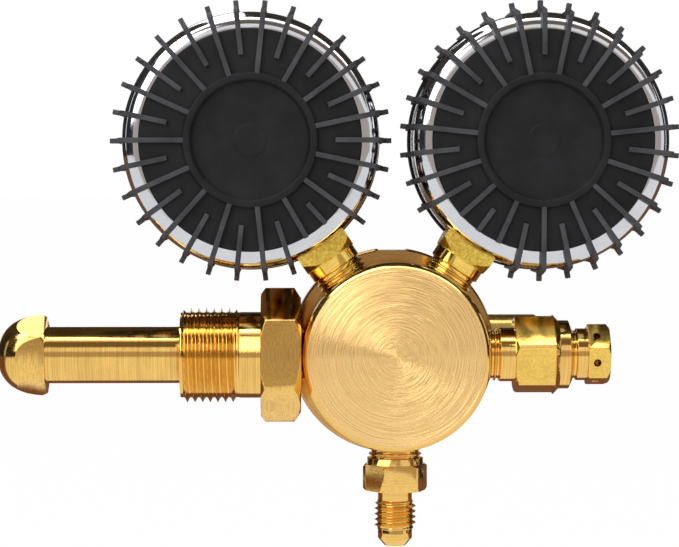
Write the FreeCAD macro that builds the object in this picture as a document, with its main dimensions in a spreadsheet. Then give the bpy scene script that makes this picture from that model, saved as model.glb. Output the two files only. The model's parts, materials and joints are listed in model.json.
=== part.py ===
"""Two-gauge regulator for a compressed-gas cylinder, as a parametric document in millimetres.

Frame: the origin is the centre of the body's flat back face. +Y runs along the adjusting
screw, towards the handle and the dials. +Z is up, between the two gauges. The inlet points
along -X, the relief valve along +X and the outlet along -Z.

A turned piece is drawn as (radius, height) corners and revolved about its own +Z, which is
then laid along the direction that the piece points in. Every corner is a formula of the
named sizes, bound to the sheet. The pieces of a gauge share one local frame: +Z to the
front, +Y away from the regulator's body, the origin on the gauge's axis level with the
body's back face.
"""
import FreeCAD
import Part
import Sketcher
import math
import os
import re
from FreeCAD import Placement, Rotation, Vector

SIZES = {
    # gaps between pieces
    "fit_gap": 0.05,            # radial, between pieces that are screwed or pressed together
    "running_gap": 0.08,        # radial, between a shaft and its hole
    "travel_gap": 0.3,          # between pieces that move past each other
    "seat_gap": 0.1,            # between a closed valve and its seat
    "overcut": 1.0,             # how far a cut starts or ends outside the solid
    # body
    "port_plane": 12.0,         # back face to the plane of the ports
    "body_radius": 24.2,
    "body_chamfer": 1.1,
    "body_depth": 28.0,         # back face to the bonnet ring
    "spigot_radius": 23.4,
    "spigot_depth": 34.0,
    "high_chamber_radius": 5.5,
    "high_chamber_floor": 4.0,
    "low_chamber_radius": 18.5,
    "low_chamber_floor": 28.5,
    "port_floor": 14.5,         # body axis to the bottom of each port
    "passage_radius": 2.0,
    "low_passage_radius": 1.5,
    "low_passage_place": 16.2,
    # valve
    "nozzle_radius": 7.1,
    "nozzle_base": 19.5,
    "nozzle_top": 30.5,
    "nozzle_hex": 12.0,
    "nozzle_bore": 1.9,
    "seat_radius": 4.4,
    "seat_height": 1.6,
    "stem_radius": 1.2,
    "poppet_radius": 3.4,
    "poppet_height": 1.6,
    "poppet_bevel": 0.6,
    "poppet_tail": 3.0,
    "return_wire": 0.5,         # radius of the wire, as for each spring
    "return_coil": 2.4,         # radius of the wire's centre line, as for each spring
    # diaphragm
    "diaphragm_thickness": 0.8,
    "slip_ring_height": 1.0,
    "plate_radius": 15.0,
    "plate_height": 1.4,
    "plate_boss": 1.0,
    # bonnet
    "bonnet_ring_radius": 27.3,
    "bonnet_ring_height": 8.8,
    "bonnet_ring_chamfer": 0.5,
    "bonnet_radius": 18.8,
    "bonnet_shoulder": 45.0,
    "bonnet_shoulder_bevel": 1.5,
    "bonnet_top": 60.0,
    "bonnet_top_wall": 1.0,
    "bonnet_neck_radius": 9.5,
    "bonnet_neck_height": 3.0,
    "bonnet_end": 68.0,
    "bonnet_end_bevel": 1.0,
    "spring_room_radius": 15.8,
    "slot_width": 7.6,
    "slot_depth": 0.6,
    # adjusting screw, its spring and the handle
    "screw_radius": 4.75,
    "screw_root": 4.0,
    "screw_lead": 1.5875,
    "screw_tip": 57.6,
    "screw_bevel": 1.0,
    "screw_lead_in": 2.0,       # from the tip to the first ridge
    "screw_inset": 1.0,         # of the screw's end inside the handle's hub
    "button_radius": 13.4,
    "button_height": 3.2,
    "button_rim": 59.0,
    "button_boss": 1.0,
    "button_bevel": 1.0,
    "spring_wire": 1.1,
    "spring_coil": 10.4,
    "handle_rear": 75.9,
    "handle_depth": 12.0,
    "handle_height": 13.2,
    "handle_span": 90.0,
    "handle_corner": 4.4,
    "handle_chamfer": 1.4,
    "hub_radius": 10.2,
    "hub_rear_bevel": 1.0,
    "hub_end": 89.5,
    "hub_end_bevel": 2.0,
    # pipe threads that screw into the body
    "pipe_thread_radius": 6.85,
    "pipe_thread_root": 6.15,
    "pipe_pitch": 1.41,
    "pipe_lead_in": 0.2,
    # inlet
    "tube_radius": 7.325,
    "tube_bore": 3.0,
    "tube_stand_off": 0.9,      # where the plain tube starts outside the body
    "nose_start": 90.3,
    "nose_radius": 10.5,
    "nose_hex": 18.2,
    "nose_rim": 0.6,
    "nose_rim_length": 1.4,
    "nose_belly": 26.0,         # radii of the nose's three arcs, from its rim to its tip
    "nose_shoulder": 12.0,
    "nose_front": 9.0,
    "nose_belly_drop": 0.45,
    "nose_belly_length": 4.4,
    "nose_shoulder_drop": 2.4,
    "nose_front_length": 3.0,
    "nose_tip": 102.4,
    "nose_tip_radius": 4.2,
    "nose_turn": -0.6,
    "filter_radius": 4.4,
    "filter_start": 15.2,
    "filter_length": 18.0,
    "filter_wall": 1.4,
    "filter_end": 3.0,
    "nut_face": 24.5,
    "nut_hex": 30.4,
    "nut_hex_length": 10.4,
    "nut_turn": 3.9,
    "nut_corner_radius": 17.4,
    "nut_rear_bevel": 2.6,
    "nut_rear_bevel_length": 1.7,
    "nut_front_bevel": 1.6,
    "nut_front_bevel_length": 1.2,
    "nut_shank_radius": 11.15,
    "nut_shank_end": 41.5,
    "nut_thread_radius": 12.25,
    "nut_thread_root": 11.0,
    "nut_pitch": 1.98,
    "nut_end": 55.7,
    # outlet flare fitting
    "outlet_collar_radius": 7.3,
    "outlet_thread_end": 2.4,   # outside the body, as the collar's start
    "outlet_collar_start": 2.6,
    "outlet_hex": 15.0,
    "outlet_hex_start": 28.4,
    "outlet_hex_end": 35.3,
    "outlet_corner_radius": 8.5,
    "outlet_bevel": 0.7,
    "outlet_bevel_length": 0.6,
    "outlet_turn": 10.3,
    "flare_neck_radius": 4.42,
    "flare_thread_start": 38.0,
    "flare_thread_radius": 5.4,
    "flare_thread_root": 4.7,
    "flare_pitch": 1.44,
    "flare_nose_radius": 4.45,
    "flare_nose_start": 45.4,
    "flare_cone_start": 47.8,
    "flare_end": 49.8,
    "flare_lip": 0.4,
    "flare_bore": 2.3,
    # relief valve
    "relief_thread_end": 2.4,   # outside the body, as the neck's start
    "relief_neck_start": 2.9,
    "relief_neck_radius": 7.0,
    "relief_hex": 18.3,
    "relief_hex_start": 30.9,
    "relief_hex_end": 41.0,
    "relief_corner_radius": 10.4,
    "relief_rear_bevel": 0.9,
    "relief_rear_bevel_length": 0.8,
    "relief_front_bevel_length": 1.4,
    "relief_turn": -14.3,
    "relief_step_radius": 8.9,
    "relief_step_end": 45.0,
    "relief_step_bevel_length": 0.9,
    "relief_groove": 0.6,       # depth of the turned groove behind the step
    "relief_groove_start": 1.2,
    "relief_groove_floor_end": 1.7,
    "relief_groove_end": 2.1,
    "relief_groove_rim": 0.3,
    "relief_end_radius": 6.75,
    "relief_end": 49.8,
    "relief_seat": 30.0,
    "relief_inlet": 2.5,
    "relief_bore": 5.2,
    "relief_poppet_radius": 4.8,
    "relief_poppet_height": 2.6,
    "relief_seal_radius": 3.8,
    "relief_seal_height": 0.9,
    "relief_seal_proud": 0.3,   # how far the seal stands out of its poppet
    "relief_guide_height": 1.0,
    "relief_wire": 0.5,
    "relief_coil": 3.6,
    "relief_cap_hex": 14.3,
    "relief_cap_end": 55.5,
    "relief_cap_plug": 5.05,
    "relief_cap_depth": 3.6,
    "relief_cap_bore": 2.6,
    "relief_cap_edge": 0.3,
    "relief_cap_bevel": 0.9,
    "relief_cap_wall": 1.6,
    "vent_radius": 1.0,
    "vent_place": 52.0,
    # gauges
    "gauge_distance": 67.0,     # body axis to gauge axis
    "gauge_angle": 34.0,        # each side of +Z
    "neck_start": 27.0,
    "neck_bevel": 0.4,
    "block_start": 30.1,
    "block_side": 14.1,
    "block_corner": 7.5,
    "block_corner_run": 0.3,
    "block_overlap": 1.0,       # of the stem inside the block
    "block_end": 29.0,          # gauge axis to the end of the block's full section
    "holder_depth": 7.0,
    "holder_reach": 15.0,
    "case_radius": 33.0,
    "case_corner": 4.5,
    "case_back": 2.0,
    "case_wall": 0.9,
    "case_front": 22.5,
    "bezel_skirt": 1.5,
    "bezel_corner": 0.8,
    "bezel_lip_slope": 0.3,
    "bezel_lip_land": 0.4,
    "bezel_lip_radius": 29.8,
    "bezel_lip_back": 26.8,
    "bezel_front": 28.0,
    "dial_radius": 31.0,
    "dial_back": 21.6,
    "dial_thickness": 0.6,
    "dial_hole": 2.4,
    "gasket_wall": 1.4,
    "lens_radius": 31.3,
    "lens_back": 24.8,
    "tube_coil_radius": 22.0,
    "bourdon_width": 2.6,
    "bourdon_depth": 6.4,
    "bourdon_wall": 0.4,
    "bourdon_back": 5.3,
    "bourdon_start": 252.0,     # around the gauge from its right, to the holder's left side
    "bourdon_end": -20.0,
    "tip_length": 2.4,
    "tip_ear": 1.8,
    "tip_ear_gap": 0.2,
    "tip_pin_place": 1.5,
    "tip_pin_spare": 0.8,
    "movement_back": 12.1,
    "movement_plate": 0.8,
    "movement_front": 18.2,
    "movement_width": 16.0,
    "movement_top": 6.0,
    "movement_foot": 22.0,
    "movement_post": 1.3,
    "pivot_drop": 11.25,        # gauge axis to the sector's pivot
    "gear_module": 0.25,
    "pinion_teeth": 10,
    "sector_teeth": 80,         # of the full circle that the sector is cut from
    "gear_back": 14.7,
    "gear_thickness": 1.2,
    "gear_backlash": 0.1,
    "arbor_radius": 0.6,
    "sector_hub_radius": 2.2,
    "sector_shaft_radius": 0.75,
    "tail_reach": 7.0,
    "tail_angle": -50.0,
    "tail_width": 2.0,
    "tail_pin_gap": 0.2,
    "link_back": 13.5,
    "link_thickness": 0.8,
    "link_pin_radius": 0.5,
    "link_end_radius": 1.2,
    "link_width": 1.4,
    "pointer_back": 23.0,
    "pointer_thickness": 0.5,
    "pointer_length": 24.0,
    "pointer_tail": 8.0,
    "pointer_hub_radius": 2.6,
    "pointer_hub_height": 1.0,
    "pointer_half_width": 0.9,
    "pointer_half_waist": 0.6,
    "pointer_half_tail": 1.3,
    "pointer_start": -135.0,    # from straight up, turning clockwise as read
    "dial_screw_place": 8.5,
    "dial_screw_radius": 0.8,
    "dial_screw_head": 1.5,
    "dial_screw_head_height": 0.5,
    "dial_screw_slot": 0.3,
    "dial_foot_length": 3.4,
    "dial_foot_width": 3.0,
    "dial_foot_height": 1.0,
    # rubber boot
    "boot_gap": 0.1,            # between the boot and the case
    "boot_back": 0.4,
    "boot_radius": 28.5,
    "boot_ring_inner": 15.3,
    "boot_ring_outer": 17.2,
    "boot_ring_back": -1.0,
    "boot_ring_bevel": 0.3,
    "boot_ring_slope": 0.6,
    "boot_edge": 0.4,
    "boot_boss_radius": 4.0,
    "boot_boss_height": 0.2,
    "boot_recess": 0.5,
    "fin_thickness": 1.3,
    "fin_back": -0.6,
    "short_fin_start": 21.7,
    "fin_shoulder": 33.4,
    "fin_bevel": 0.8,
    "fin_root_overlap": 0.2,
    "fin_rise": 0.1,            # of a long fin's root inside the back ring
    "lug_slope": 0.5,
    "fin_front_radius": 34.9,
    "lug_radius": 36.4,
    "lug_back": 9.8,
    "lug_front": 12.2,
    "rib_radius": 34.3,         # of the ribs that run from the lugs to the band
    "boot_band": 0.6,
    "boot_band_back": 20.4,
    "boot_band_front": 27.0,
    "left_fin_phase": 3.9,
    "right_fin_phase": 14.1,
}
FIN_PAIRS = 15
VENT_COUNT = 6
SPANNER_SLOTS = 4
FULL_SWEEP = 270.0          # degrees of the pointer's travel
SPARE_TEETH = 4             # on the sector, past those that the pinion turns through
SCREW_RIDGES = 10
PRESSURE_ANGLE = 20.0
SPRING_TURNS = {"return_spring": 6, "adjusting_spring": 5, "relief_spring": 5}

doc = FreeCAD.newDocument("regulator")
sheet = doc.addObject("Spreadsheet::Sheet", "Sizes")
pieces = []


def fill_sheet():
    """Write each named size to the sheet, with its name as the cell's alias."""
    for row, (alias, number) in enumerate(SIZES.items(), start=1):
        sheet.set(f"A{row}", alias)
        sheet.set(f"B{row}", str(number))
        sheet.setAlias(f"B{row}", alias)
    doc.recompute()


def bound(formula):
    """Turn the size names in a formula into references to the sheet."""
    def refer(word):
        return "Sizes." + word[0] if word[0] in SIZES else word[0]
    return re.sub(r"[a-z][a-z_]*", refer, formula)


def size(formula):
    """The value of a formula of named sizes."""
    return float(sheet.evalExpression(bound(formula)))


def bind(item, prop, formula):
    """Bind a property to a formula of named sizes."""
    item.setExpression(prop, bound(formula))


def keep(piece, label):
    """Name a finished piece and put it on the list that is written out."""
    piece.Label = label
    pieces.append(piece)
    return piece


def add_shape(label, shape):
    """A feature that holds a shape made here, whose own place is first baked into its geometry."""
    own_place = shape.Placement.toMatrix()
    shape.Placement = Placement()
    shape.transformShape(own_place, True)
    piece = doc.addObject("Part::Feature", label)
    piece.Shape = shape
    return keep(piece, label)


def place(piece, base=("0", "0", "0"), up=Vector(0, 0, 1), side=Vector(1, 0, 0)):
    """Lay a piece's own +Z along up and its own +X near side, with its origin at base."""
    turn = Rotation(side, up.cross(side), up, "ZXY")
    piece.Placement = Placement(Vector(*(size(part) for part in base)), turn)
    for axis, formula in zip("xyz", base):
        if formula != "0":
            bind(piece, f"Placement.Base.{axis}", formula)


# ---------------------------------------------------------------- sketches and features

def origin_part(body, role):
    """One of a body's own origin planes or axes."""
    return {feature.Role: feature for feature in body.Origin.OriginFeatures}[role]


def new_sketch(body, base=("0", "0", "0"), plane="XY_Plane", turn=Rotation()):
    """Attach a sketch to one of its own body's origin planes, shifted by base."""
    sketch = body.newObject("Sketcher::SketchObject", body.Name + "_sketch")
    sketch.AttachmentSupport = [(origin_part(body, plane), "")]
    sketch.MapMode = "FlatFace"
    sketch.AttachmentOffset = Placement(Vector(*(size(part) for part in base)), turn)
    for axis, formula in zip("xyz", base):
        if formula != "0":
            bind(sketch, f"AttachmentOffset.Base.{axis}", formula)
    return sketch


def fix_point(sketch, line, end, corner):
    """Hold one end of a line at a corner given as two formulas."""
    for kind, axis, formula in (("DistanceX", -2, corner[0]), ("DistanceY", -1, corner[1])):
        if formula == "0":
            sketch.addConstraint(Sketcher.Constraint("PointOnObject", line, end, axis))
        else:
            number = sketch.addConstraint(Sketcher.Constraint(kind, -1, 1, line, end, size(formula)))
            bind(sketch, f"Constraints[{number}]", formula)


def arc_between(start, end, radius):
    """The arc from start to end: anticlockwise for a positive radius, clockwise for a negative one."""
    chord = end - start
    rise = math.sqrt(radius * radius - chord.Length ** 2 / 4)
    left = Vector(-chord.y, chord.x, 0).normalize()
    centre = (start + end) / 2 + left * (rise if radius > 0 else -rise)
    first, last = (start, end) if radius > 0 else (end, start)
    begin, finish = (math.atan2(p.y - centre.y, p.x - centre.x) for p in (first, last))
    return Part.ArcOfCircle(Part.Circle(centre, Vector(0, 0, 1), abs(radius)), begin, finish)


def draw(sketch, corners):
    """Draw a closed outline of corners; a third formula makes an arc of that radius to the next corner."""
    spots = [Vector(size(corner[0]), size(corner[1]), 0) for corner in corners]
    joints = []
    for index, corner in enumerate(corners):
        start, end = spots[index], spots[(index + 1) % len(spots)]
        if len(corner) == 2:
            line = sketch.addGeometry(Part.LineSegment(start, end), False)
            joints.append((line, 1, 2))
        else:
            radius = size(corner[2])
            line = sketch.addGeometry(arc_between(start, end, radius), False)
            number = sketch.addConstraint(Sketcher.Constraint("Radius", line, abs(radius)))
            bind(sketch, f"Constraints[{number}]", f"abs({corner[2]})")
            joints.append((line, 1, 2) if radius > 0 else (line, 2, 1))
        fix_point(sketch, line, joints[-1][1], corner)
    for index, (line, _, end) in enumerate(joints):
        following, start, _ = joints[(index + 1) % len(joints)]
        sketch.addConstraint(Sketcher.Constraint("Coincident", line, end, following, start))


def draw_circle(sketch, radius, centre=("0", "0")):
    """Draw a circle whose radius is bound to the sheet."""
    spot = Vector(size(centre[0]), size(centre[1]), 0)
    circle = sketch.addGeometry(Part.Circle(spot, Vector(0, 0, 1), size(radius)), False)
    fix_point(sketch, circle, 3, centre)
    number = sketch.addConstraint(Sketcher.Constraint("Radius", circle, size(radius)))
    bind(sketch, f"Constraints[{number}]", radius)


def new_body(label):
    """A design body that may hold its solid in stages."""
    body = doc.addObject("PartDesign::Body", label)
    body.AllowCompound = True
    return keep(body, label)


def revolve(body, corners, kind="Revolution", base=("0", "0", "0"), plane="XZ_Plane"):
    """Add or groove away an outline turned about the sketch's upright axis."""
    sketch = new_sketch(body, base, plane)
    draw(sketch, corners)
    feature = body.newObject("PartDesign::" + kind, body.Name + "_turning")
    feature.Profile = sketch
    feature.ReferenceAxis = (sketch, ["V_Axis"])
    feature.Angle = 360
    return feature


def turned(label, corners):
    """A body turned about its own +Z from (radius, height) corners."""
    body = new_body(label)
    revolve(body, corners)
    return body


def extrude(body, sketch, length, kind="Pad", middle=False, backwards=False):
    """Pad or pocket a sketch by a length bound to the sheet."""
    feature = body.newObject("PartDesign::" + kind, body.Name + "_" + kind.lower())
    feature.Profile = sketch
    feature.Reversed = backwards
    if middle:
        feature.SideType = "Symmetric"
    bind(feature, "Length", length)
    doc.recompute()
    return feature


def cut(body, sketch, length):
    """Pocket a sketch along its own normal, and check that material was removed."""
    before = body.Shape.Volume
    feature = extrude(body, sketch, length, "Pocket", backwards=True)
    if body.Shape.Volume > before - 0.01:
        raise ValueError(f"{body.Label}: a cut removed nothing")
    return feature


def drill(body, start, turn, radius, depth):
    """Drill from start along the direction that turn lays +Z in."""
    doc.recompute()
    sketch = new_sketch(body, start, "XY_Plane", turn)
    draw_circle(sketch, radius)
    return cut(body, sketch, depth)


def towards(direction):
    """The turn that lays +Z along a direction."""
    return Rotation(Vector(0, 0, 1), direction)


def mill_flats(body, across, start, end, turn="0", count=6, clear="2 * nut_hex"):
    """Mill flats round a turned piece, between two heights on its axis."""
    doc.recompute()
    sketch = new_sketch(body, ("0", "0", start))
    corner = f"{across} / 2 / cos({180 / count})"
    turns = [f"{turn} + {360 / count * (step + 0.5)}" for step in range(count)]
    draw(sketch, [(f"{corner} * cos({angle})", f"{corner} * sin({angle})") for angle in turns])
    draw_circle(sketch, clear)
    return cut(body, sketch, f"{end} - ({start})")


def repeat(body, feature, count):
    """Repeat a feature round the body's own +Z."""
    pattern = body.newObject("PartDesign::PolarPattern", body.Name + "_pattern")
    pattern.Originals = [feature]
    pattern.Axis = (origin_part(body, "Z_Axis"), [""])
    pattern.Angle = 360
    pattern.Occurrences = count
    body.Tip = pattern
    doc.recompute()
    return pattern


def ridges(start, pitch, crest, root, count):
    """Corners of thread ridges: narrow crests and wide roots, from start along the axis."""
    corners = []
    for step in range(count):
        for radius, share in ((root, 0.0), (root, 0.34), (crest, 0.56), (crest, 0.72), (root, 0.96)):
            corners.append((radius, f"{start} + {round(step + share, 2)} * {pitch}"))
    return corners


# ---------------------------------------------------------------- body, valve and diaphragm

ALONG_Y = {"up": Vector(0, 1, 0), "side": Vector(1, 0, 0)}
INLET = {"up": Vector(-1, 0, 0), "side": Vector(0, -1, 0)}
OUTLET = {"up": Vector(0, 0, -1), "side": Vector(0, -1, 0)}
RELIEF = {"up": Vector(1, 0, 0), "side": Vector(0, -1, 0)}
PORTS = ("0", "port_plane", "0")


def build_body():
    """The turned body: two chambers, five ports in one plane and the passages between them."""
    body = turned("regulator_body", [
        ("0", "0"), ("body_radius - body_chamfer", "0"), ("body_radius", "body_chamfer"),
        ("body_radius", "body_depth"), ("spigot_radius", "body_depth"),
        ("spigot_radius", "spigot_depth"), ("low_chamber_radius", "spigot_depth"),
        ("low_chamber_radius", "low_chamber_floor"), ("nozzle_radius + fit_gap", "low_chamber_floor"),
        ("nozzle_radius + fit_gap", "nozzle_base"), ("high_chamber_radius", "nozzle_base"),
        ("high_chamber_radius", "high_chamber_floor"), ("0", "high_chamber_floor")])
    # in the body's own frame its axis is +Z, the row's +X is +X and the row's +Z is -Y
    ports = {"inlet": "180", "outlet": "90", "relief": "0",
             "left": "-90 - gauge_angle", "right": "-90 + gauge_angle"}
    reach = "(body_radius + overcut)"
    depth = f"{reach} - port_floor"
    for name, angle in ports.items():
        bearing = math.radians(size(angle))
        inward = towards(Vector(-math.cos(bearing), -math.sin(bearing), 0))
        mouth = (f"{reach} * cos({angle})", f"{reach} * sin({angle})", "port_plane")
        drill(body, mouth, inward, "pipe_thread_radius + fit_gap", depth)
        if name in ("inlet", "left"):
            floor = (f"port_floor * cos({angle})", f"port_floor * sin({angle})", "port_plane")
            drill(body, floor, inward, "passage_radius", "port_floor - 0.8 * high_chamber_radius")
        else:
            spot = (f"low_passage_place * cos({angle})", f"low_passage_place * sin({angle})", "port_plane")
            drill(body, spot, Rotation(), "low_passage_radius", "low_chamber_floor + overcut - port_plane")
    place(body, **ALONG_Y)


def build_valve():
    """The nozzle with its soft seat, and the poppet on a stem that the diaphragm pushes."""
    nozzle = turned("nozzle", [
        ("nozzle_bore", "nozzle_base + seat_height"), ("seat_radius + fit_gap", "nozzle_base + seat_height"),
        ("seat_radius + fit_gap", "nozzle_base"), ("nozzle_radius", "nozzle_base"),
        ("nozzle_radius", "nozzle_top"), ("nozzle_bore", "nozzle_top")])
    mill_flats(nozzle, "nozzle_hex", "low_chamber_floor", "nozzle_top")
    place(nozzle, **ALONG_Y)
    seat = turned("valve_seat", [
        ("nozzle_bore", "nozzle_base"), ("seat_radius", "nozzle_base"),
        ("seat_radius", "nozzle_base + seat_height"), ("nozzle_bore", "nozzle_base + seat_height")])
    place(seat, **ALONG_Y)
    top = "nozzle_base - seat_gap"
    tail_end = f"{top} - poppet_height - poppet_tail"
    stem = turned("valve_stem", [
        ("0", tail_end), ("stem_radius", tail_end),
        ("stem_radius", f"{top} - poppet_height"), ("poppet_radius", f"{top} - poppet_height"),
        ("poppet_radius", f"{top} - 0.4 * poppet_height"), ("poppet_radius - poppet_bevel", top),
        ("stem_radius", top), ("stem_radius", "spigot_depth - seat_gap"), ("0", "spigot_depth - seat_gap")])
    place(stem, **ALONG_Y)


def build_diaphragm():
    """The diaphragm, its slip ring and the plate that the adjusting spring stands on."""
    diaphragm_top = "spigot_depth + diaphragm_thickness"
    disc = turned("diaphragm", [("0", "spigot_depth"), ("spigot_radius - fit_gap", "spigot_depth"),
                                ("spigot_radius - fit_gap", diaphragm_top), ("0", diaphragm_top)])
    ring_top = diaphragm_top + " + slip_ring_height"
    ring = turned("slip_ring", [
        ("low_chamber_radius", diaphragm_top), ("spigot_radius - 2 * fit_gap", diaphragm_top),
        ("spigot_radius - 2 * fit_gap", ring_top), ("low_chamber_radius", ring_top)])
    plate_top = diaphragm_top + " + plate_height"
    plate = turned("diaphragm_plate", [
        ("0", diaphragm_top), ("plate_radius", diaphragm_top), ("plate_radius", plate_top),
        ("spring_coil - spring_wire - travel_gap", plate_top),
        ("spring_coil - spring_wire - 3 * travel_gap", plate_top + " + plate_boss"),
        ("0", plate_top + " + plate_boss")])
    for piece in (disc, ring, plate):
        place(piece, **ALONG_Y)


# ---------------------------------------------------------------- bonnet, screw and handle

def build_bonnet():
    """The bonnet: a ring with spanner slots screwed over the body, and the spring's housing."""
    ring_back = "body_depth + fit_gap"
    ring_front = f"{ring_back} + bonnet_ring_height"
    shoulder = "spigot_depth + diaphragm_thickness + slip_ring_height"
    bonnet = turned("bonnet", [
        ("spigot_radius + fit_gap", ring_back), ("bonnet_ring_radius - bonnet_ring_chamfer", ring_back),
        ("bonnet_ring_radius", f"{ring_back} + bonnet_ring_chamfer"),
        ("bonnet_ring_radius", f"{ring_front} - bonnet_ring_chamfer"),
        ("bonnet_ring_radius - bonnet_ring_chamfer", ring_front),
        ("bonnet_radius + bonnet_shoulder_bevel", "bonnet_shoulder - bonnet_shoulder_bevel"),
        ("bonnet_radius", "bonnet_shoulder"), ("bonnet_radius", "bonnet_top + bonnet_top_wall"),
        ("bonnet_neck_radius", "bonnet_end - bonnet_neck_height"),
        ("bonnet_neck_radius", "bonnet_end - bonnet_end_bevel"),
        ("bonnet_neck_radius - bonnet_end_bevel", "bonnet_end"),
        ("screw_radius + running_gap", "bonnet_end"), ("screw_radius + running_gap", "bonnet_top"),
        ("spring_room_radius", "bonnet_top"), ("spring_room_radius", shoulder),
        ("spigot_radius + fit_gap", shoulder)])
    doc.recompute()
    sketch = new_sketch(bonnet, ("0", "0", "body_depth - overcut"))
    inner, outer = "-bonnet_ring_radius + slot_depth", "-bonnet_ring_radius - overcut"
    draw(sketch, [("-slot_width / 2", outer), ("slot_width / 2", outer),
                  ("slot_width / 2", inner), ("-slot_width / 2", inner)])
    slot = cut(bonnet, sketch, "bonnet_ring_height + 2 * overcut")
    repeat(bonnet, slot, SPANNER_SLOTS)
    place(bonnet, **ALONG_Y)


def build_screw():
    """The spring button, and the adjusting screw with the handle fixed on its end."""
    button_base = "button_rim - button_height"
    button = turned("spring_button", [
        ("0", f"{button_base} - button_boss"),
        ("spring_coil - spring_wire - 3 * travel_gap", f"{button_base} - button_boss"),
        ("spring_coil - spring_wire - travel_gap", button_base), ("button_radius", button_base),
        ("button_radius", "button_rim - button_bevel"), ("button_radius - button_bevel", "button_rim"),
        ("screw_root + travel_gap", "button_rim"), ("screw_root + travel_gap", "screw_tip - seat_gap"),
        ("0", "screw_tip - seat_gap")])
    place(button, **ALONG_Y)
    threads = ridges("screw_tip + screw_lead_in", "screw_lead", "screw_radius", "screw_root", SCREW_RIDGES)
    screw = turned("adjusting_screw", [
        ("0", "screw_tip"), ("screw_root - screw_bevel", "screw_tip"),
        ("screw_root", "screw_tip + screw_bevel"), *threads,
        ("screw_root", "hub_end - screw_inset"), ("0", "hub_end - screw_inset")])
    place(screw, **ALONG_Y)


def build_handle():
    """The forged T-handle: a rounded bar across a turned hub."""
    handle = new_body("t_handle")
    back, front = "handle_rear", "(handle_rear + handle_depth)"
    half, corner = "handle_height / 2", "handle_corner"
    sketch = new_sketch(handle, plane="YZ_Plane")
    draw(sketch, [(f"-({half} - {corner})", back), (f"{half} - {corner}", back, corner),
                  (half, f"{back} + {corner}"), (half, f"{front} - {corner}", corner),
                  (f"{half} - {corner}", front), (f"-({half} - {corner})", front, corner),
                  (f"-({half})", f"{front} - {corner}"), (f"-({half})", f"{back} + {corner}", corner)])
    bar = extrude(handle, sketch, "handle_span", middle=True)
    ends = [f"Face{number}" for number, face in enumerate(bar.Shape.Faces, start=1)
            if abs(abs(face.CenterOfMass.x) - size("handle_span") / 2) < 0.01]
    chamfer = handle.newObject("PartDesign::Chamfer", "handle_ends")
    chamfer.Base = (bar, ends)
    bind(chamfer, "Size", "handle_chamfer")
    revolve(handle, [
        ("0", "handle_rear"), ("hub_radius - hub_rear_bevel", "handle_rear"),
        ("hub_radius", "handle_rear + hub_rear_bevel"), ("hub_radius", "hub_end - hub_end_bevel"),
        ("hub_radius - hub_end_bevel", "hub_end"), ("0", "hub_end")])
    drill(handle, ("0", "0", "handle_rear - screw_inset"), Rotation(), "screw_root + fit_gap",
          "hub_end - handle_rear")
    place(handle, **ALONG_Y)


def add_spring(label, wire, coil, start, end, base=("0", "0", "0"), lay=ALONG_Y):
    """A round-wire compression spring between two heights on its axis."""
    turns = SPRING_TURNS[label]
    thickness = size(wire)
    height = size(end) - size(start) - 2 * thickness
    helix = Part.makeHelix(height / turns, height, size(coil))
    ring = Part.Wire(Part.makeCircle(thickness, Vector(size(coil), 0, 0), Vector(0, 1, 0)))
    coil_shape = Part.Wire(helix.Edges).makePipeShell([ring], True, True)
    coil_shape.translate(Vector(0, 0, size(start) + thickness))
    place(add_shape(label, coil_shape), base, **lay)


# ---------------------------------------------------------------- inlet, outlet and relief valve

def pipe_end(count=7):
    """Corners of the pipe thread that screws into a port, from its inner end outwards."""
    start = "port_floor + travel_gap"
    threads = ridges(start + " + pipe_lead_in", "pipe_pitch", "pipe_thread_radius", "pipe_thread_root", count)
    return [("pipe_thread_root", start), *threads]


def build_inlet():
    """The nipple with its bullet nose, the filter inside it and the nut that slides along it."""
    filter_tip = "(filter_start + filter_length)"
    nipple = turned("inlet_nipple", [
        ("tube_bore", filter_tip), ("filter_radius + fit_gap", filter_tip),
        ("filter_radius + fit_gap", "port_floor + travel_gap"), *pipe_end(6),
        ("tube_radius", "body_radius + tube_stand_off"), ("tube_radius", "nose_start"),
        ("nose_radius - nose_rim", "nose_start"),
        ("nose_radius", "nose_start + nose_rim_length", "nose_belly"),
        ("nose_radius - nose_belly_drop", "nose_start + nose_belly_length", "nose_shoulder"),
        ("nose_radius - nose_shoulder_drop", "nose_tip - nose_front_length", "nose_front"),
        ("nose_tip_radius", "nose_tip"), ("tube_bore", "nose_tip")])
    mill_flats(nipple, "nose_hex", "nose_start", "nose_tip", turn="nose_turn")
    place(nipple, PORTS, **INLET)
    strainer = turned("inlet_filter", [
        ("filter_radius - filter_wall", "filter_start"), ("filter_radius", "filter_start"),
        ("filter_radius", f"{filter_tip} - travel_gap"), ("0", f"{filter_tip} - travel_gap"),
        ("0", f"{filter_tip} - filter_end"), ("filter_radius - filter_wall", f"{filter_tip} - filter_end")])
    place(strainer, PORTS, **INLET)
    hex_end = "nut_face + nut_hex_length"
    nut = turned("inlet_nut", [
        ("tube_radius + running_gap", "nut_face"), ("nut_corner_radius - nut_rear_bevel", "nut_face"),
        ("nut_corner_radius", "nut_face + nut_rear_bevel_length"),
        ("nut_corner_radius", f"{hex_end} - nut_front_bevel_length"),
        ("nut_corner_radius - nut_front_bevel", hex_end), ("nut_shank_radius", hex_end),
        ("nut_shank_radius", "nut_shank_end"),
        *ridges("nut_shank_end", "nut_pitch", "nut_thread_radius", "nut_thread_root", 7),
        ("nut_thread_root", "nut_end"), ("tube_radius + running_gap", "nut_end")])
    mill_flats(nut, "nut_hex", "nut_face", hex_end, "nut_turn")
    place(nut, PORTS, **INLET)


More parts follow.
